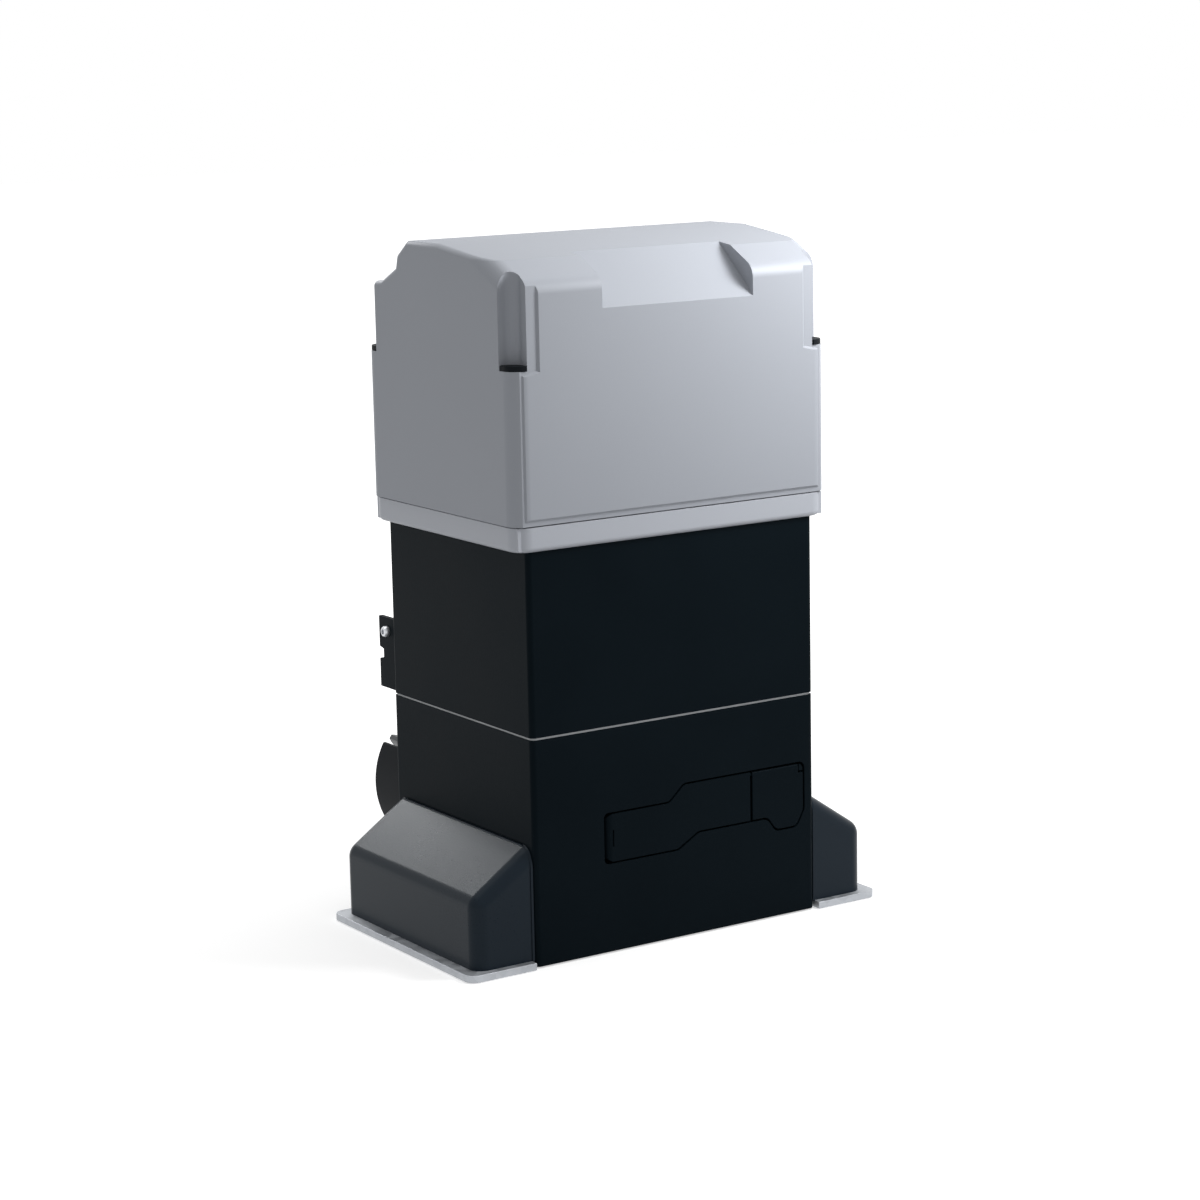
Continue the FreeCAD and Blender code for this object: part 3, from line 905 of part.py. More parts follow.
def limit_sensor():
    """The magnetic limit sensor on the gate side, on a bracket screwed to the upper casting."""
    back, low, high = HALF_D, "body_split+1.5", "sensor_high"
    plate = box("bracket_plate", ("sensor_left+3", "sensor_left+44"), (back, f"{back}+3"), (low, high))

    def notched(start, bottom, top):
        """The side outline of the sensor or its bracket, with the notch they share."""
        return [(start, bottom), ("sensor_reach", bottom), ("sensor_reach", "sensor_low+19"),
                ("sensor_reach-sensor_notch", "sensor_low+20"), ("sensor_reach-sensor_notch", "sensor_low+25"),
                ("sensor_reach", "sensor_low+26"), ("sensor_reach", top), (start, top)]

    wing = padded("bracket_wing", "YZ", notched(back, low, high), "sensor_left+3", "3")
    node(join("bracket", plate, wing), "sensor_bracket")
    block = padded("sensor_block", "YZ", notched(f"{back}+3.2", f"{low}+2", f"{high}-2"), "sensor_left+6.2", "26",
                   [((1, 6), "3")])
    node(block, "limit_sensor")
    plug = hexagon("fill_plug_head", "17", "6", ("bath_right-14", back, "body_split-22"), "Y")
    node(plug, "oil_fill_plug")


def rear_screws():
    """The screws of the sensor's bracket and of the pinion guard."""
    head = [("0", "-3"), ("3.2", "-3"), ("3.2", "0"), ("0", "0")]
    screws = [turned("sensor_screw", head, ("sensor_left+3", f"{HALF_D}+9", "sensor_low+36"), "X"),
              turned("bracket_screw", head, ("sensor_left+39.5", f"{HALF_D}+3", "sensor_low+23"), "-Y")]
    screws += [turned(f"guard_screw{i}", [("0", "-4"), ("1.95", "-4"), ("1.95", "guard_plate"), ("3.4", "guard_plate"),
                                          ("3.4", "guard_plate+1.2"), ("2.4", "guard_plate+2"), ("0", "guard_plate+2")],
                      (x, HALF_D, GUARD_HOLE_Z), "Y") for i, x in enumerate(GUARD_HOLE_X)]
    node(group("rear_screw_set", *screws), "rear_screws")


foundation()
lower_housing()
side_cover("left", -1)
side_cover("right", 1)
upper_housing()
motor()
worm()
worm_wheel()
output_shaft()
pinion()
guard()
release_rod()
lever()
tray()
cover()
electronics()
limit_sensor()
rear_screws()
doc.recompute()

# ---------------------------------------------------------------- checks and files
for thing in doc.Objects:
    if "Invalid" in thing.State or "Error" in thing.State:
        raise RuntimeError(f"{thing.Name} did not recompute: {thing.State}")
os.makedirs("parts", exist_ok=True)
for name, thing in NODES:
    shape = thing.Shape
    if shape.isNull() or not shape.isValid() or not shape.Solids:
        raise RuntimeError(f"{name} has no valid solid")
    shape.exportStep(f"parts/{name}.step")
    print(f"{name}: {len(shape.Solids)} solids, {shape.Volume / 1000:.1f} cm3")
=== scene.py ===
import math

import bmesh
import bpy
from mathutils import Matrix, Vector


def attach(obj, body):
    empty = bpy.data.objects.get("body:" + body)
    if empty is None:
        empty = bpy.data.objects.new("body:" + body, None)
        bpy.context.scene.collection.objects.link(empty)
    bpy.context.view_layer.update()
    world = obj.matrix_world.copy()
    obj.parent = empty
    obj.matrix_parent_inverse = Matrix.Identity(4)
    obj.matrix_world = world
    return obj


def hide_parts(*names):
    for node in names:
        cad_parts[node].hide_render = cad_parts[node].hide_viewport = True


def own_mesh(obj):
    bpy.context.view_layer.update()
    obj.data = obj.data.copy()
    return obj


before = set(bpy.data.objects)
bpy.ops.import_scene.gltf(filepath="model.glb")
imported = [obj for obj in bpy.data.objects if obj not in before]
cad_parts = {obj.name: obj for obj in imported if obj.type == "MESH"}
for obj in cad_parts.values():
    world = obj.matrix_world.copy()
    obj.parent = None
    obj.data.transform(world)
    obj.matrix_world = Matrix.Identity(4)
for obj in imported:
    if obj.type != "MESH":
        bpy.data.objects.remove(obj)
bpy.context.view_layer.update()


# ---------------------------------------------------------------- studio
# A pale floor, a small key lamp close to the cover's right front corner, a broad one above, a weak one far
# behind, and an even world. The camera stands low in front of the left corner, with a long lens.
LENS, SENSOR = 0.09204, 0.036
YAW, PITCH, ROLL = math.radians(33.22), math.radians(10.81), math.radians(-1.15)
TARGET, DISTANCE = Vector((-0.00024, 0.0, 0.18038)), 1.7349

back = Vector((-math.sin(YAW) * math.cos(PITCH), -math.cos(YAW) * math.cos(PITCH), math.sin(PITCH)))
level = Vector((math.cos(YAW), -math.sin(YAW), 0.0))
upward = back.cross(level)
right = math.cos(ROLL) * level + math.sin(ROLL) * upward
above = math.cos(ROLL) * upward - math.sin(ROLL) * level
camera = bpy.data.objects.new("camera", bpy.data.cameras.new("camera"))
camera.data.sensor_width = SENSOR * 1000
camera.data.lens = LENS * 1000
camera.data.clip_end = 20
stance = Matrix((right, above, back)).transposed().to_4x4()
camera.matrix_world = Matrix.Translation(TARGET + back * DISTANCE) @ stance
bpy.context.scene.collection.objects.link(camera)
bpy.context.scene.camera = camera
bpy.context.scene.view_settings.view_transform = "Standard"


def lamp(name, place, width, height, watts, aim=(0.0, 0.0, 0.2)):
    """A soft rectangular lamp at place that faces aim. Lengths are in metres."""
    light = bpy.data.objects.new(name, bpy.data.lights.new(name, "AREA"))
    light.data.shape = "RECTANGLE"
    light.data.size, light.data.size_y, light.data.energy = width, height, watts
    place = Vector(place)
    turn = (place - Vector(aim)).to_track_quat("Z", "Y").to_matrix().to_4x4()
    light.matrix_world = Matrix.Translation(place) @ turn
    light.visible_camera = False
    bpy.context.scene.collection.objects.link(light)


COVER_CORNER = (0.09, -0.06, 0.34)
lamp("key", (0.24, -0.27, 0.52), 0.16, 0.16, 1.95, COVER_CORNER)
lamp("top", (0.1, 0.2, 1.7), 1.4, 1.0, 10)
lamp("rear", (-0.02, 1.25, 0.74), 0.4, 0.2, 3.0)


class Socket:
    """One output in a node tree. + and * on it add Math nodes, and add() makes any other node."""

    def __init__(self, tree, output=None):
        self.tree, self.output = tree, output

    def add(self, kind, settings=None, values=None, output=0):
        node = self.tree.nodes.new(kind)
        for key, value in (settings or {}).items():
            setattr(node, key, value)
        for key, value in (values or {}).items():
            self.give(node.inputs[key], value)
        return Socket(self.tree, node.outputs[output])

    def give(self, socket, value):
        if isinstance(value, Socket):
            self.tree.links.new(value.output, socket)
        elif socket.type == "RGBA" and len(value) == 3:
            socket.default_value = (*value, 1)
        else:
            socket.default_value = value

    def math(self, operation, *values):
        return self.add("ShaderNodeMath", {"operation": operation}, dict(enumerate(values)))

    def __add__(self, other):
        return self.math("ADD", self, other)

    def __mul__(self, other):
        return self.math("MULTIPLY", self, other)

    def band(self, low, high):
        """0 at low, 1 at high, and straight in between."""
        ends = {0: self, 1: low, 2: high, 3: 0.0, 4: 1.0}
        return self.add("ShaderNodeMapRange", {"clamp": True}, ends)

    def mix(self, low, high):
        """The colour low where this is 0, and high where it is 1."""
        return self.add("ShaderNodeMix", {"data_type": "RGBA"}, {0: self, 6: low, 7: high}, output=2)


class Finish(Socket):
    """A material with one principled shader, whose patterns read Object coordinates in metres."""

    def __init__(self, name, **constants):
        self.material = bpy.data.materials.new(name)
        self.material.use_nodes = True
        super().__init__(self.material.node_tree)
        self.shader = self.tree.nodes["Principled BSDF"]
        for key, value in constants.items():
            self.give(self.shader.inputs[key.replace("_", " ")], value)
        self.place = self.add("ShaderNodeTexCoord", output="Object")

    def stretched(self, scale):
        """Object coordinates, longer or shorter along each axis."""
        return self.add("ShaderNodeMapping", None, {"Vector": self.place, "Scale": scale})

    def noise(self, scale, detail=2.0, rough=0.5, place=None):
        """Cloudy noise from 0 to 1, with about scale patches to the metre."""
        values = {"Vector": place or self.place, "Scale": scale, "Detail": detail, "Roughness": rough}
        return self.add("ShaderNodeTexNoise", None, values, output="Fac")

    def axis(self, name):
        return self.add("ShaderNodeSeparateXYZ", None, {0: self.place}, output=name)

    def colour(self, value):
        self.give(self.shader.inputs["Base Color"], value)

    def rough(self, value):
        self.give(self.shader.inputs["Roughness"], value)

    def bump(self, height, depth):
        """Raises the surface by depth metres where height is 1."""
        normal = self.add("ShaderNodeBump", None, {"Height": height, "Distance": depth, "Strength": 1.0})
        self.give(self.shader.inputs["Normal"], normal)


def seen_directly(tree):
    """1 for camera, mirror and glass rays, which see a white background. 0 for rays that light the object."""
    rays = tree.nodes.new("ShaderNodeLightPath").outputs
    direct, mirrored, through = (Socket(tree, rays[f"Is {kind} Ray"])
                                 for kind in ("Camera", "Glossy", "Transmission"))
    return direct.math("MAXIMUM", direct.math("MAXIMUM", direct, mirrored), through)


FLOOR_HALF, FLOOR_DROP = 8.0, 0.0004
GLOW_NEAR, GLOW_START, GLOW_END = 0.52, 0.25, 0.9
paper = Finish("floor_paper", Roughness=0.95, Specular_IOR_Level=0.0, Emission_Strength=1.0)
paper.colour(paper.noise(3.0).mix((0.70, 0.70, 0.70), (0.72, 0.72, 0.72)))
away = paper.add("ShaderNodeVectorMath", {"operation": "LENGTH"}, {0: paper.place}, output="Value")
glow = seen_directly(paper.tree) * (away.band(GLOW_START, GLOW_END) * (1 - GLOW_NEAR) + GLOW_NEAR)
paper.give(paper.shader.inputs["Emission Color"], glow.mix((0, 0, 0), (1, 1, 1)))
corners = [(x * FLOOR_HALF, y * FLOOR_HALF, -FLOOR_DROP) for x, y in ((-1, -1), (1, -1), (1, 1), (-1, 1))]
floor_mesh = bpy.data.meshes.new("floor")
floor_mesh.from_pydata(corners, [], [(0, 1, 2, 3)])
floor_mesh.materials.append(paper.material)
floor = bpy.data.objects.new("floor", floor_mesh)
bpy.context.scene.collection.objects.link(floor)

WORLD_LIGHT = 0.40
world = bpy.data.worlds.new("studio")
world.use_nodes = True
bpy.context.scene.world = world
ambient = world.node_tree.nodes["Background"]
ambient.inputs["Color"].default_value = (1, 1, 1, 1)
Socket(world.node_tree).give(ambient.inputs["Strength"],
                             seen_directly(world.node_tree) * (1 - WORLD_LIGHT) + WORLD_LIGHT)


# ---------------------------------------------------------------- foundation plate
# A laser-cut plate of galvanised steel, which the concrete anchors hold down. Its ears show beside the
# housing. Four threaded studs welded to it carry the housing between two rows of nuts and washers.
ONE_CORNER, ONE_EDGE = 2e-6, 1e-6


def merged(nodes):
    """The CAD nodes' meshes as one mesh whose triangles share their corners."""
    whole = bmesh.new()
    for node in nodes:
        whole.from_mesh(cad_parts[node].data)
    bmesh.ops.remove_doubles(whole, verts=whole.verts, dist=ONE_CORNER)
    bmesh.ops.dissolve_degenerate(whole, edges=whole.edges, dist=ONE_EDGE)
    return whole


def piece(name, mesh, finish, body, stands_for=()):
    """Makes the mesh an object, gives it its finish, and hangs it on its body."""
    mesh.name = name
    mesh.materials.clear()
    mesh.materials.append(finish.material)
    made = bpy.data.objects.new(name, mesh)
    bpy.context.scene.collection.objects.link(made)
    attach(made, body)
    if stands_for:
        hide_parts(*stands_for)
    return made


def evaluated(blank):
    """The object's mesh with its modifiers applied. The object itself is taken away."""
    mesh = bpy.data.meshes.new_from_object(blank.evaluated_get(bpy.context.evaluated_depsgraph_get()))
    blank.modifiers.clear()
    bpy.data.objects.remove(blank)
    return mesh


SHARP_EDGE = math.radians(32)
SAME_PLANE = math.radians(0.4)
FLAT_FACES_FIRST = 60
LEAST_LEAN = 0.6


def shell(name, nodes, finish, body, edge, mend=None):
    """A part from its CAD nodes: flat faces made whole, and sharp edges rounded by edge metres. A corner
    normal that leans too far from its face (cosine under LEAST_LEAN) takes the face's own direction."""
    whole = merged(nodes)
    if mend:
        mend(whole)
    bmesh.ops.dissolve_limit(whole, angle_limit=SAME_PLANE, verts=whole.verts, edges=whole.edges)
    mesh = bpy.data.meshes.new(name)
    whole.to_mesh(mesh)
    whole.free()
    mesh.shade_smooth()
    if not edge:
        mesh.set_sharp_from_angle(angle=SHARP_EDGE)
    blank = bpy.data.objects.new(name + "_blank", mesh)
    bpy.context.scene.collection.objects.link(blank)
    if edge:
        bevel = blank.modifiers.new("edge", "BEVEL")
        bevel.width, bevel.segments = edge, 2
        bevel.limit_method, bevel.angle_limit = "ANGLE", SHARP_EDGE
        bevel.miter_outer = "MITER_ARC"
    even = blank.modifiers.new("even", "WEIGHTED_NORMAL")
    even.keep_sharp = True
    even.weight = FLAT_FACES_FIRST
    mesh = evaluated(blank)
    normals = [corner.vector.copy() for corner in mesh.corner_normals]
    for face in mesh.polygons:
        for corner in face.loop_indices:
            if normals[corner].dot(face.normal) < LEAST_LEAN:
                normals[corner] = face.normal.copy()
    mesh.normals_split_custom_set(normals)
    return piece(name, mesh, finish, body, nodes)


def lathe(name, profile, sides=48):
    """A turned part along +Z from (radius, height) pairs in mm. A third number is the half width of a hexagon
    that limits the radius. The profile closes on itself where both its ends are off the axis."""
    form = bmesh.new()
    rings = []
    for radius, height, *hexagon in profile:
        ring = []
        for side in range(sides if radius else 1):
            angle = 2 * math.pi * side / sides
            reach = radius
            if hexagon:
                reach = min(radius, hexagon[0] / math.cos(angle % (math.pi / 3) - math.pi / 6))
            ring.append(form.verts.new((reach * math.cos(angle) / 1000, reach * math.sin(angle) / 1000,
                                        height / 1000)))
        rings.append(ring)
    closed = len(rings[0]) > 1 and len(rings[-1]) > 1
    for low, high in zip(rings, rings[1:] + rings[:closed]):
        for side in range(sides):
            after = side + 1
            around = (low[side % len(low)], low[after % len(low)],
                      high[after % len(high)], high[side % len(high)])
            form.faces.new(list(dict.fromkeys(around)))
    bmesh.ops.recalc_face_normals(form, faces=form.faces)
    mesh = bpy.data.meshes.new(name)
    form.to_mesh(mesh)
    form.free()
    mesh.shade_smooth()
    mesh.set_sharp_from_angle(angle=SHARP_EDGE)
    return mesh


def stood(mesh, place, aim):
    """Moves the mesh so that its own Z axis runs along aim from place, which is in mm."""
    turn = Vector(aim).to_track_quat("Z", "Y").to_matrix().to_4x4()
    mesh.transform(Matrix.Translation(Vector(place) / 1000) @ turn)


def solid_boxes(node):
    """(lowest corner, highest corner) in mm of each separate solid in a CAD node."""
    whole = merged([node])
    boxes, seen = [], set()
    for start in whole.verts:
        if start in seen:
            continue
        group, waiting = [], [start]
        seen.add(start)
        while waiting:
            vertex = waiting.pop()
            group.append(vertex.co * 1000)
            for edge in vertex.link_edges:
                other = edge.other_vert(vertex)
                if other not in seen:
                    seen.add(other)
                    waiting.append(other)
        boxes.append((Vector([min(co[i] for co in group) for i in range(3)]),
                      Vector([max(co[i] for co in group) for i in range(3)])))
    whole.free()
    return boxes


def new_tree(name, inputs):
    """An empty Geometry Nodes tree with these named inputs, and its input and output nodes."""
    tree = bpy.data.node_groups.new(name, "GeometryNodeTree")
    for label, kind in inputs.items():
        tree.interface.new_socket(label, in_out="INPUT", socket_type="NodeSocket" + kind)
    tree.interface.new_socket("Parts", in_out="OUTPUT", socket_type="NodeSocketGeometry")
    start = tree.nodes.new("NodeGroupInput")
    return tree, {label: Socket(tree, start.outputs[label]) for label in inputs}


def close_tree(tree, instances, given, weld):
    """Makes the instances real, welds corners nearer than weld, gives them their finish, and ends the tree."""
    real = instances.add("GeometryNodeRealizeInstances", None, {0: instances})
    if weld:
        real = real.add("GeometryNodeMergeByDistance", None, {"Geometry": real, "Distance": weld})
    finished = real.add("GeometryNodeSetMaterial", None, {"Geometry": real, "Material": given["Finish"]})
    tree.links.new(finished.output, tree.nodes.new("NodeGroupOutput").inputs[0])


def grown(name, start_mesh, tree, values):
    """The mesh that a Geometry Nodes tree makes from start_mesh, with these values for its named inputs."""
    blank = bpy.data.objects.new(name + "_blank", start_mesh)
    bpy.context.scene.collection.objects.link(blank)
    nodes = blank.modifiers.new("nodes", "NODES")
    nodes.node_group = tree
    for item in tree.interface.items_tree:
        if item.in_out == "INPUT" and item.name in values:
            nodes[item.identifier] = values[item.name]
    return evaluated(blank)


planting, wanted = new_tree("planted_parts", {"Points": "Geometry", "Part": "Object", "Finish": "Material",
                                              "Spin": "Float", "Seed": "Int"})
aim = wanted["Spin"].add("GeometryNodeInputNamedAttribute", {"data_type": "FLOAT_VECTOR"}, {"Name": "aim"},
                         output="Attribute")
aimed = aim.add("FunctionNodeAlignRotationToVector", {"axis": "Z"}, {"Vector": aim}, output="Rotation")
chance = aim.add("FunctionNodeRandomValue", {"data_type": "FLOAT"},
                 {2: 0.0, 3: wanted["Spin"], 8: wanted["Seed"]}, output=1)
twist = aim.add("FunctionNodeAxisAngleToRotation", None, {"Axis": (0, 0, 1), "Angle": chance})
twisted = aim.add("FunctionNodeRotateRotation", {"rotation_space": "LOCAL"},
                  {"Rotation": aimed, "Rotate By": twist})
plant = aim.add("GeometryNodeObjectInfo", None, {"Object": wanted["Part"]}, output="Geometry")
plants = aim.add("GeometryNodeInstanceOnPoints", None,
                 {"Points": wanted["Points"], "Instance": plant, "Rotation": twisted})
close_tree(planting, plants, wanted, 0)


def planted(name, part_mesh, spots, finish, spin, seed):
    """Copies of a part on (place in mm, aim) spots, each turned by chance up to spin about its own axis."""
    points = bpy.data.meshes.new(name + "_points")
    points.from_pydata([Vector(place) / 1000 for place, _ in spots], [], [])
    points.attributes.new("aim", "FLOAT_VECTOR", "POINT").data.foreach_set(
        "vector", [number for _, direction in spots for number in direction])
    part_object = bpy.data.objects.new(name + "_part", part_mesh)
    mesh = grown(name, points, planting,
                 {"Part": part_object, "Finish": finish.material, "Spin": spin, "Seed": seed})
    bpy.data.objects.remove(part_object)
    return mesh


def planted_piece(name, part_mesh, spots, finish, stands_for=(), spin=0.0, seed=1):
    """A piece of the housing that is made of planted copies of one part."""
    piece(name, planted(name, part_mesh, spots, finish, spin, seed), finish, "housing", stands_for)


def feet(node, tall=0.0):
    """The centre of the underside, and the way up, of each solid of a CAD node that is taller than tall."""
    return [(((low.x + high.x) / 2, (low.y + high.y) / 2, low.z), (0, 0, 1))
            for low, high in solid_boxes(node) if high.z - low.z > tall]


STAINS, SHADES, FLAKE_DEPTH = 45.0, 12.0, 0.000012


def metal(name, low, high, rough, stretch=(1, 1, 1), fine=700.0, depth=0.00001):
    """A bare or plated metal whose marks lie close together along the axis with the largest stretch."""
    made = Finish(name, Metallic=1.0)
    marks = made.noise(fine, 3.0, 0.6, made.stretched(stretch))
    stain = made.noise(STAINS, 3.0)
    made.colour((marks * 0.5 + stain * 0.5).mix(low, high))
    made.rough(marks * 0.18 + stain * 0.12 + rough)
    made.bump(marks, depth)
    return made


def moulded(name, low, high, rough, fine=1200.0, depth=0.00003, gloss=0.3):
    """A plastic or rubber with a slow change of shade and a fine grain."""
    made = Finish(name, Specular_IOR_Level=gloss)
    slow, fast = made.noise(SHADES, 2.0), made.noise(fine, 3.0)
    made.colour((slow * 0.7 + fast * 0.3).mix(low, high))
    made.rough(slow * 0.06 + fast * 0.12 + rough)
    made.bump(fast, depth)
    return made


galvanised = Finish("galvanised_steel", Metallic=0.75, Specular_IOR_Level=0.4)
spangle = galvanised.add("ShaderNodeTexVoronoi", None, {"Vector": galvanised.place, "Scale": 160.0},
                         output="Color")
patch = galvanised.add("ShaderNodeSeparateColor", None, {0: spangle})
dust = galvanised.noise(60.0, 4.0)
galvanised.colour((patch * 0.5 + dust * 0.5).mix((0.38, 0.40, 0.43), (0.56, 0.58, 0.61)))
galvanised.rough(patch * 0.16 + dust * 0.1 + 0.34)
galvanised.bump(dust, 0.00003)
shell("base_plate", ["foundation_plate"], galvanised, "housing", 0.0003)

zinc = metal("zinc_plated_steel", (0.50, 0.52, 0.55), (0.66, 0.67, 0.69), 0.22)
STUD_RADIUS, THREAD_ROOT, PLATE_TOP, STUD_TOP = 5, 4.45, 4, 46
THREAD_START, THREAD_PITCH, THREAD_TURNS = 10, 1.5, 23
ridges = [(radius, THREAD_START + THREAD_PITCH * turn + lift) for turn in range(THREAD_TURNS)
          for radius, lift in ((STUD_RADIUS, 0), (THREAD_ROOT, THREAD_PITCH / 2))]
stud = lathe("stud", [(0, PLATE_TOP), (STUD_RADIUS, PLATE_TOP), *ridges, (STUD_RADIUS, STUD_TOP - 1.4),
                      (STUD_RADIUS - 0.9, STUD_TOP), (0, STUD_TOP)])
studs = [((x, y, 0), (0, 0, 1)) for (x, y, _), _ in feet("plate_studs")]
planted_piece("stud_set", stud, studs, zinc, ["plate_studs"], 1.0, 3)

NUT_TALL, NUT_HALF = 5, 8.5
nut = lathe("nut", [(5.1, 0.8), (5.9, 0), (8.1, 0), (9.9, 0.9, NUT_HALF), (9.9, 7.6, NUT_HALF), (8.1, 8.5),
                    (5.9, 8.5), (5.1, 7.7)])
washer = lathe("washer", [(5.4, 0), (9.8, 0), (10, 0.2), (10, 1.8), (9.8, 2), (5.4, 2)])
nuts = feet("stud_nuts", NUT_TALL)
washers = [spot for spot in feet("stud_nuts") if spot not in nuts]
planted_piece("nut_set", nut, nuts, zinc, ["stud_nuts"])
planted_piece("washer_set", washer, washers, zinc, (), 1.0, 5)


# ---------------------------------------------------------------- castings
# Two die-cast aluminium housings, powder coated black with a blue cast. The lower one holds the oil and the
# gears and stands on the plate's studs; the upper one holds the motor. A pale joint shows between them.
black_coat = Finish("black_powder_coat", Specular_IOR_Level=0.03, Specular_Tint=(0.78, 0.9, 1.0))
cloud = black_coat.noise(14.0, 3.0)
peel = black_coat.noise(900.0, 2.0)
black_coat.colour(cloud.mix((0.0018, 0.0042, 0.0062), (0.0042, 0.0078, 0.0108)))
black_coat.rough(cloud * 0.12 + peel * 0.08 + 0.36)
black_coat.bump(peel, 0.00004)
shell("lower_casting", ["lower_housing"], black_coat, "housing", 0.0005)
shell("upper_casting", ["upper_housing"], black_coat, "housing", 0.0005)

seal_paper = Finish("gasket_paper", Roughness=0.7)
seal_paper.colour(seal_paper.noise(500.0, 3.0).mix((0.5, 0.52, 0.54), (0.62, 0.64, 0.66)))
shell("joint_gasket", ["housing_gasket"], seal_paper, "housing", 0.0)

BOLT_TALL, BOLT_SOCKET, SCREW_SOCKET = 10, 2.1, 2.0
bolt = lathe("casting_bolt", [(0, 0), (2.2, 0), (2.4, 0.4), (2.4, 29.2), (4.5, 29.2), (4.8, 29.5), (4.8, 33.8),
                              (4.4, 34.2), (2.9, 34.2), (2.9, 31.2, BOLT_SOCKET), (0, 31.2)])
disc_screw = lathe("disc_screw", [(0, 3), (4, 3), (4, 1.0), (3.6, 1.4), (2.3, 1.4, SCREW_SOCKET), (2.3, 0),
                                  (0, 0)])
bolts = feet("housing_bolts", BOLT_TALL)
disc_screws = [spot for spot in feet("housing_bolts") if spot not in bolts]
planted_piece("casting_bolts", bolt, bolts, zinc, ["housing_bolts"], 1.0, 2)
planted_piece("disc_screws", disc_screw, disc_screws, zinc, (), 1.0, 4)


# ---------------------------------------------------------------- worm gear
# A ground steel worm on the motor's shaft turns a bronze wheel on the output shaft, in the oil. Ball bearings
# carry both shafts, and lip seals keep the oil in.
turned_steel = metal("turned_steel", (0.42, 0.42, 0.43), (0.60, 0.60, 0.61), 0.2, (0.2, 0.2, 9))
ground_steel = metal("ground_steel", (0.50, 0.50, 0.51), (0.66, 0.66, 0.67), 0.14, (1, 9, 1))
bronze = metal("cast_bronze", (0.46, 0.27, 0.10), (0.64, 0.41, 0.17), 0.24, (0.5, 7, 0.5), 400.0)
black_rubber = moulded("black_rubber", (0.006, 0.006, 0.007), (0.014, 0.014, 0.015), 0.55, 500.0, 0.00005, 0.2)
bare_aluminium = metal("bare_aluminium", (0.56, 0.57, 0.58), (0.72, 0.73, 0.74), 0.32, fine=300.0,
                       depth=0.00003)


def shells(nodes, finish, body, edge=0.0002):
    """One shell for each of these CAD nodes."""
    for node in nodes:
        shell(node + "_form", [node], finish, body, edge)


shells(["worm_shaft"], turned_steel, "rotor", 0.0)
shells(["worm_wheel"], bronze, "output", 0.0)
shells(["rotor_bearing_outer_rings", "output_bearing_outer_rings"], ground_steel, "housing")
shells(["rotor_bearing_inner_rings"], ground_steel, "rotor")
shells(["output_bearing_inner_rings"], ground_steel, "output")
shells(["bearing_plate", "motor_end_shield"], bare_aluminium, "housing")
shells(["oil_seals"], black_rubber, "housing")


# ---------------------------------------------------------------- output shaft, clutch and release rod
# The turned steel shaft carries the wheel between two friction discs. Disc springs, set by a ring nut, press
# them together, and a rod through the shaft's bore lifts the pressure plate to let the gate go.
AXLE_X, AXLE_Z = -43.5, 67.0
lining = moulded("friction_lining", (0.05, 0.035, 0.025), (0.11, 0.08, 0.055), 0.7, 600.0, 0.00008, 0.2)
black_steel = metal("blackened_steel", (0.045, 0.047, 0.050), (0.085, 0.088, 0.092), 0.26, (1, 0.3, 1), 260.0,
                    0.00002)
spring_steel = metal("spring_steel", (0.30, 0.31, 0.33), (0.46, 0.47, 0.49), 0.2, (0.4, 6, 0.4))
shells(["output_shaft", "pinion_spacer", "pinion_key"], ground_steel, "output")
shells(["friction_discs"], lining, "output")
springs = shell("clutch_spring_pack", ["clutch_springs"], spring_steel, "output", 0.0)
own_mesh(springs)
shells(["clutch_nut"], black_steel, "output")
shells(["release_rod"], black_steel, "release")
shells(["cross_pin_dowel", "pressure_plate"], ground_steel, "release")
shells(["release_rod_bush"], bronze, "housing")
shells(["lever_pin"], black_steel, "housing")


# ---------------------------------------------------------------- pinion and guard
# The blackened steel rack pinion, module 4 with 20 teeth, is keyed to the shaft behind the motor and held by
# a bolt and washer. A plastic hood covers its lower half.
MODULE, TEETH, PRESSURE = 4.0, 20, math.radians(20)
PITCH_RADIUS, TIP_RADIUS, ROOT_RADIUS, BACKLASH = MODULE * TEETH / 2, 44.0, 35.0, 0.2
FLANK_RADII = (TIP_RADIUS, 43.4, 42.6, 41.6, 40.6, 39.6, 38.6, 37.6)
SECTOR_TURN = 2 * math.pi / TEETH


def tooth_side(radius):
    """The angle from a tooth's middle to its involute side at that radius."""
    def involute(angle):
        return math.tan(angle) - angle
    base = PITCH_RADIUS * math.cos(PRESSURE)
    lean = math.acos(min(1.0, base / radius))
    return math.pi / 2 / TEETH - BACKLASH / 2 / PITCH_RADIUS + involute(PRESSURE) - involute(lean)


flank = [(tooth_side(radius), radius) for radius in FLANK_RADII]
foot = flank[-1][0]
flank += [(foot + 0.002, 36.6), (foot + 0.007, 35.8), (foot + 0.017, 35.25), (foot + 0.03, ROOT_RADIUS)]
root = [(SECTOR_TURN / 2, ROOT_RADIUS), (0.5 * (SECTOR_TURN / 2 + flank[-1][0]), ROOT_RADIUS)]
half = [*root, *reversed(flank)]
outline = [(-angle, radius) for angle, radius in half] + [(0.0, TIP_RADIUS)] + half[::-1]
FACE, BACK_FACE, EDGE_CUT, BORE = 107.0, 80.0, 0.5, 12.7
inner_ring = [(BORE, 76), (23.4, 76), (24, 76.6), (24, BACK_FACE)]
outer_ring = [(29.6, FACE), (29.6, 104), (25, 104), (25, FACE), (17.9, FACE), (17.5, 106.6), (17.5, 105),
              (BORE, 105)]
sector = bmesh.new()
columns = []
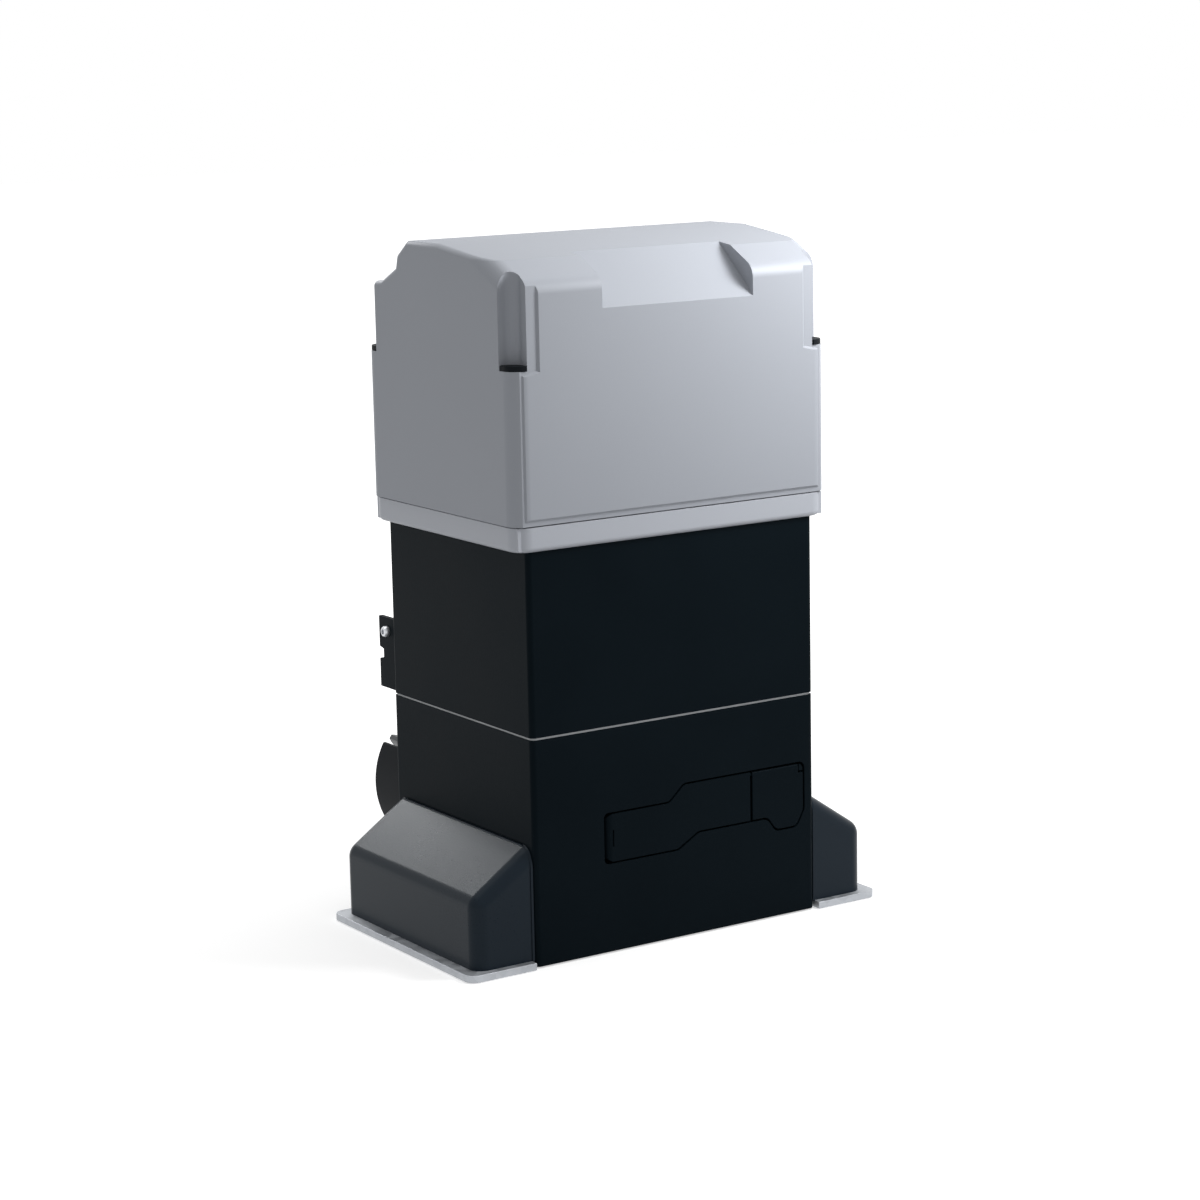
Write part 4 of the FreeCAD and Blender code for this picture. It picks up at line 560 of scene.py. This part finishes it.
for angle, radius in outline:
    profile = inner_ring + [(radius - EDGE_CUT, BACK_FACE), (radius, BACK_FACE + EDGE_CUT),
                            (radius, FACE - EDGE_CUT), (radius - EDGE_CUT, FACE)] + outer_ring
    columns.append([sector.verts.new((r * math.sin(angle) / 1000, y / 1000, r * math.cos(angle) / 1000))
                    for r, y in profile])
for one, other in zip(columns, columns[1:]):
    for k in range(len(one)):
        sector.faces.new((one[k], one[(k + 1) % len(one)], other[(k + 1) % len(one)], other[k]))
bmesh.ops.recalc_face_normals(sector, faces=sector.faces)
sector_mesh = bpy.data.meshes.new("tooth_sector")
sector.to_mesh(sector_mesh)
sector.free()

turning, asked = new_tree("turned_copies", {"Start": "Geometry", "Part": "Object", "Finish": "Material",
                                            "Count": "Int", "Turn": "Float", "Axis": "Vector",
                                            "Weld": "Float"})
number = asked["Count"].add("GeometryNodeInputIndex")
centres = number.add("GeometryNodePoints", None, {"Count": asked["Count"]})
turned = number.add("FunctionNodeAxisAngleToRotation", None,
                    {"Axis": asked["Axis"], "Angle": number * asked["Turn"]})
copied = number.add("GeometryNodeObjectInfo", None, {"Object": asked["Part"]}, output="Geometry")
copies = number.add("GeometryNodeInstanceOnPoints", None,
                    {"Points": centres, "Instance": copied, "Rotation": turned})
close_tree(turning, copies, asked, asked["Weld"])


def repeated(name, part_mesh, finish, count, turn, axis, weld):
    """Copies of a part about the origin, each turned about axis from the one before, and welded."""
    part_object = bpy.data.objects.new(name + "_part", part_mesh)
    mesh = grown(name, bpy.data.meshes.new(name + "_start"), turning,
                 {"Part": part_object, "Finish": finish.material, "Count": count, "Turn": turn, "Axis": axis,
                  "Weld": weld})
    bpy.data.objects.remove(part_object)
    return mesh


gear = repeated("rack_pinion", sector_mesh, black_steel, TEETH, SECTOR_TURN, (0, 1, 0), 1e-6)
gear.transform(Matrix.Translation((AXLE_X / 1000, 0, AXLE_Z / 1000)))
gear.shade_smooth()
gear.set_sharp_from_angle(angle=SHARP_EDGE)
piece("rack_pinion", gear, black_steel, "output", ["pinion"])

HEXAGON_HALF = 8
pinion_bolt = lathe("pinion_bolt_form", [
    (0, 84), (4.6, 84), (5, 84.4), (5, 105.2), (16.1, 105.2), (16.5, 105.6), (16.5, 107.6), (16.1, 108),
    (8.6, 108), (9.3, 108.3, HEXAGON_HALF), (9.3, 112.4, HEXAGON_HALF), (7.4, 113), (6.6, 113), (6.2, 112.7),
    (0, 112.7)])
stood(pinion_bolt, (AXLE_X, 0, AXLE_Z), (0, 1, 0))
piece("pinion_screw", pinion_bolt, zinc, "output", ["pinion_bolt"])

black_plastic = moulded("black_plastic", (0.005, 0.007, 0.009), (0.010, 0.012, 0.015), 0.42, gloss=0.06)
shell("pinion_hood", ["pinion_guard"], black_plastic, "housing", 0.0003)


# ---------------------------------------------------------------- motor
# A two-pole induction motor stands in the upper casting: laminated core, copper windings, and a squirrel cage
# rotor with cast end rings on the worm's shaft. A disc on top gives the control unit its pulses. SHEET_WAVE
# gives one light and one dark band to each 0.5 mm of height.
laminations = Finish("stacked_laminations", Metallic=0.9)
SHEET_WAVE = 12566.0
height = laminations.axis("Z")
sheet = height.math("SINE", height * SHEET_WAVE)
rust = laminations.noise(60.0, 4.0)
laminations.colour((sheet * 0.25 + rust * 0.5 + 0.25).mix((0.16, 0.16, 0.17), (0.34, 0.35, 0.37)))
laminations.rough(rust * 0.2 + 0.35)
laminations.bump(sheet, 0.00003)
copper = Finish("enamelled_copper", Metallic=0.9)
wires = copper.noise(900.0, 2.0, 0.5, copper.stretched((0.25, 0.25, 1)))
varnish = copper.noise(40.0, 2.0)
copper.colour((wires * 0.6 + varnish * 0.4).mix((0.30, 0.10, 0.045), (0.62, 0.27, 0.12)))
copper.rough(wires * 0.2 + 0.22)
copper.bump(wires, 0.0002)
shells(["stator_core"], laminations, "housing")
shells(["stator_windings"], copper, "housing", 0.0015)
shells(["rotor_core"], laminations, "rotor")
shells(["rotor_end_rings"], bare_aluminium, "rotor")
shells(["encoder_disc"], black_plastic, "rotor")


# ---------------------------------------------------------------- side covers
# A moulded plastic cover snaps over the anchor nuts at each end. Its skin is a satin charcoal with a fine
# grain, cooler and lighter than the black castings.
charcoal = Finish("charcoal_plastic", Specular_IOR_Level=0.15, Specular_Tint=(0.78, 0.9, 1.0))
flow = charcoal.noise(9.0, 2.0)
grain = charcoal.noise(1300.0, 3.0)
charcoal.colour(flow.mix((0.005, 0.0095, 0.0155), (0.009, 0.0150, 0.0225)))
charcoal.rough(flow * 0.06 + grain * 0.1 + 0.22)
charcoal.bump(grain, 0.00003)
for side in ("left", "right"):
    shell("end_cover_" + side, ["side_cover_" + side], charcoal, "housing", 0.0006)


# ---------------------------------------------------------------- release lever
# The cast lever, its lock flap and the lock lie flush in a recess in the lower casting. The flap covers the
# keyhole of a steel cam lock, whose zinc-plated tail holds the lever shut.
shell("lever_arm", ["release_lever"], black_coat, "lever", 0.0004)
shell("keyhole_flap", ["lock_flap"], black_coat, "flap", 0.0003)
shells(["lock_case"], ground_steel, "lever")
shells(["flap_pin"], black_coat, "lever")
shells(["lock_cylinder"], turned_steel, "lock")
shells(["lock_tail"], zinc, "lock")


# ---------------------------------------------------------------- cover and tray
# The control unit's cover and the tray under it are injection moulded in a silver-grey plastic with a
# satin, faintly metallic skin. Black caps fill the wells over the four cover screws.
def satin(name, low, high, rough, gloss, shine, slow, fine):
    """A plastic with a slow change of shade and fine metallic flakes."""
    made = Finish(name, Specular_IOR_Level=gloss, Metallic=shine)
    drift, flake = made.noise(slow, 2.0), made.noise(fine, 2.0)
    made.colour((drift * 0.6 + flake * 0.4).mix(low, high))
    made.rough(drift * 0.05 + flake * 0.1 + rough)
    made.bump(flake, FLAKE_DEPTH)
    return made


silver = satin("silver_grey_plastic", (0.3, 0.317, 0.352), (0.366, 0.385, 0.424), 0.44, gloss=0.25, shine=0.08,
               slow=6.0, fine=2600.0)
band_grey = satin("tray_grey_plastic", (0.36, 0.38, 0.42), (0.42, 0.44, 0.485), 0.4, gloss=0.5, shine=0.1,
                  slow=7.0, fine=2400.0)
RIM_ANGLE = math.radians(98)
CORNER_START = Vector((0.098, 0.050, 0.372))
MOST_RISE, DRAWN_BACK = 0.3, 0.0006


def close_thin_corners(whole):
    """Closes the skin over the two front corners, which the hollow just reaches, and moves the hollow away."""
    rims = [rim for rim in whole.edges if rim.calc_face_angle(0) > RIM_ANGLE
            and all(abs(end.co.x) > CORNER_START.x and end.co.y < -CORNER_START.y and end.co.z > CORNER_START.z
                    for end in rim.verts)]
    bmesh.ops.split_edges(whole, edges=rims)
    open_edges = [rim for rim in whole.edges if rim.is_boundary]
    inner = {end for rim in open_edges for end in rim.verts if rim.link_faces[0].normal.z < MOST_RISE}
    for end in inner:
        end.co += Vector((math.copysign(DRAWN_BACK, -end.co.x), DRAWN_BACK, -DRAWN_BACK))
    bmesh.ops.holes_fill(whole, edges=open_edges)


shell("cover_shell", ["top_cover"], silver, "housing", 0.0005, close_thin_corners)
shell("cover_band", ["cover_tray"], band_grey, "housing", 0.0004)
shell("screw_caps", ["cover_screw_caps"], black_plastic, "housing", 0.0004)
shells(["cable_grommet"], black_rubber, "housing", 0.0006)

TRAY_SOCKET, COVER_SOCKET = 1.7, 2.0
tray_screw = lathe("tray_screw", [(0, 0), (2.1, 0), (2.4, 0.5), (2.4, 16), (4.8, 16), (4.8, 16.4), (4.2, 18.6),
                                  (3.8, 19), (2.3, 19), (2.3, 17.4, TRAY_SOCKET), (0, 17.4)])
cover_screw = lathe("cover_screw", [(0, 0), (2.0, 0), (2.3, 0.5), (2.3, 86), (3.8, 86), (4.1, 86.3),
                                    (4.1, 89.6), (3.7, 90), (2.7, 90), (2.7, 87.6, COVER_SOCKET), (0, 87.6)])
planted_piece("tray_screw_set", tray_screw, feet("tray_screws"), zinc, ["tray_screws"], 1.0, 6)
planted_piece("cover_screw_set", cover_screw, feet("cover_screws"), zinc, ["cover_screws"], 1.0, 7)


# ---------------------------------------------------------------- control unit
# A green printed board on hexagonal posts, with pluggable terminals and relays. The transformer and the
# motor's start capacitor lie under it in the tray, and the encoder's sensor faces the disc.
POST_TALL, POST_HALF = 68, 4
post = lathe("post", [(0, 0), (4.0, 0), (4.7, 0.4, POST_HALF), (4.7, POST_TALL - 0.4, POST_HALF),
                      (4.0, POST_TALL), (0, POST_TALL)])
planted_piece("board_posts", post, feet("board_standoffs"), bare_aluminium,
              ["board_standoffs"])

circuit = Finish("circuit_board", Specular_IOR_Level=0.5)
cells = circuit.add("ShaderNodeTexVoronoi", {"feature": "DISTANCE_TO_EDGE"},
                    {"Vector": circuit.place, "Scale": 150.0}, output="Distance")
pads = circuit.add("ShaderNodeTexVoronoi", None, {"Vector": circuit.place, "Scale": 320.0, "Randomness": 0.35},
                   output="Distance")
track = cells.band(0.05, 0.09)
pad = pads.band(0.28, 0.22)
green = track.mix((0.02, 0.16, 0.07), (0.006, 0.075, 0.03))
circuit.colour(pad.mix(green, (0.55, 0.56, 0.52)))
circuit.rough(track * 0.15 + 0.25)
circuit.bump(track, -0.00004)
shells(["control_board"], circuit, "housing", 0.0)

relay_black = moulded("relay_black", (0.010, 0.010, 0.012), (0.02, 0.02, 0.023), 0.25)
terminal_green = moulded("terminal_green", (0.012, 0.14, 0.05), (0.02, 0.21, 0.08), 0.32)
can_white = moulded("capacitor_can", (0.52, 0.53, 0.54), (0.62, 0.63, 0.64), 0.3)
CLAMP_LONG, CLAMP_DEEP, CLAMP_TALL, CLAMP_GAP, WAYS = 29.0, 12.0, 12.0, 0.3, 4
CLAMP_RIM, CLAMP_DENT, FACING = 0.0014, 0.0009, 0.9
pitch = CLAMP_LONG / WAYS
clamp = bmesh.new()
for way in range(WAYS):
    start = -CLAMP_LONG / 2 + way * pitch
    block = bmesh.ops.create_cube(clamp, size=1.0)["verts"]
    bmesh.ops.scale(clamp, vec=((pitch - CLAMP_GAP) / 1000, CLAMP_DEEP / 1000, CLAMP_TALL / 1000), verts=block)
    bmesh.ops.translate(clamp, vec=((start + pitch / 2) / 1000, 0, CLAMP_TALL / 2000), verts=block)
dented = [face for face in clamp.faces if abs(face.normal.y) > FACING or face.normal.z > FACING]
bmesh.ops.inset_individual(clamp, faces=dented, thickness=CLAMP_RIM, depth=-CLAMP_DENT)
clamp_mesh = bpy.data.meshes.new("terminal_block")
clamp.to_mesh(clamp_mesh)
clamp.free()
planted_piece("terminal_blocks", clamp_mesh, feet("board_terminals"), terminal_green,
              ["board_terminals"])
shells(["board_relays"], relay_black, "housing", 0.0006)
shells(["transformer"], laminations, "housing", 0.0005)
shells(["start_capacitor"], can_white, "housing", 0.0005)
shells(["encoder_sensor"], black_plastic, "housing", 0.0003)


# ---------------------------------------------------------------- limit sensor and filler plug
# The magnetic limit sensor stands on a folded bracket on the gate side. Zinc-plated socket screws hold the
# bracket, the sensor and the pinion's hood. A blackened hexagon plug closes the oil filler.
shell("sensor_block", ["limit_sensor"], black_plastic, "housing", 0.0004)
shell("sensor_plate", ["sensor_bracket"], black_coat, "housing", 0.0003)
PLUG_HALF, HEAD_SOCKET, HEAD_TALLEST = 8.5, 1.25, 3.1
plug = lathe("filler_plug", [(0, 0), (8.4, 0), (9.9, 0.3, PLUG_HALF), (9.9, 5.0, PLUG_HALF), (7.9, 6),
                             (5.2, 6), (4.8, 5.6), (0, 5.6)])
plug_low, plug_high = solid_boxes("oil_fill_plug")[0]
stood(plug, ((plug_low.x + plug_high.x) / 2, plug_low.y, (plug_low.z + plug_high.z) / 2), (0, 1, 0))
piece("filler_plug", plug, black_steel, "housing", ["oil_fill_plug"])

sensor_head = lathe("small_head", [(0, 0), (3.2, 0), (3.2, 1.6), (2.6, 2.7), (2.0, 3), (1.5, 3),
                                   (1.5, 1.4, HEAD_SOCKET), (0, 1.4)])
guard_head = lathe("guard_head", [(0, 0), (1.95, 0), (1.95, 6), (3.4, 6), (3.4, 7.2), (2.4, 8), (1.5, 8),
                                  (1.5, 6.8, HEAD_SOCKET), (0, 6.8)])
sensor_spots, guard_spots = [], []
for low, high in solid_boxes("rear_screws"):
    middle, extent = (low + high) / 2, high - low
    if extent.x < HEAD_TALLEST:
        sensor_spots.append(((high.x, middle.y, middle.z), (-1, 0, 0)))
    elif extent.y < HEAD_TALLEST:
        sensor_spots.append(((middle.x, low.y, middle.z), (0, 1, 0)))
    else:
        guard_spots.append(((middle.x, low.y, middle.z), (0, 1, 0)))
planted_piece("sensor_screw_set", sensor_head, sensor_spots, zinc, ["rear_screws"], 1.0, 8)
planted_piece("guard_screw_set", guard_head, guard_spots, zinc, (), 1.0, 9)
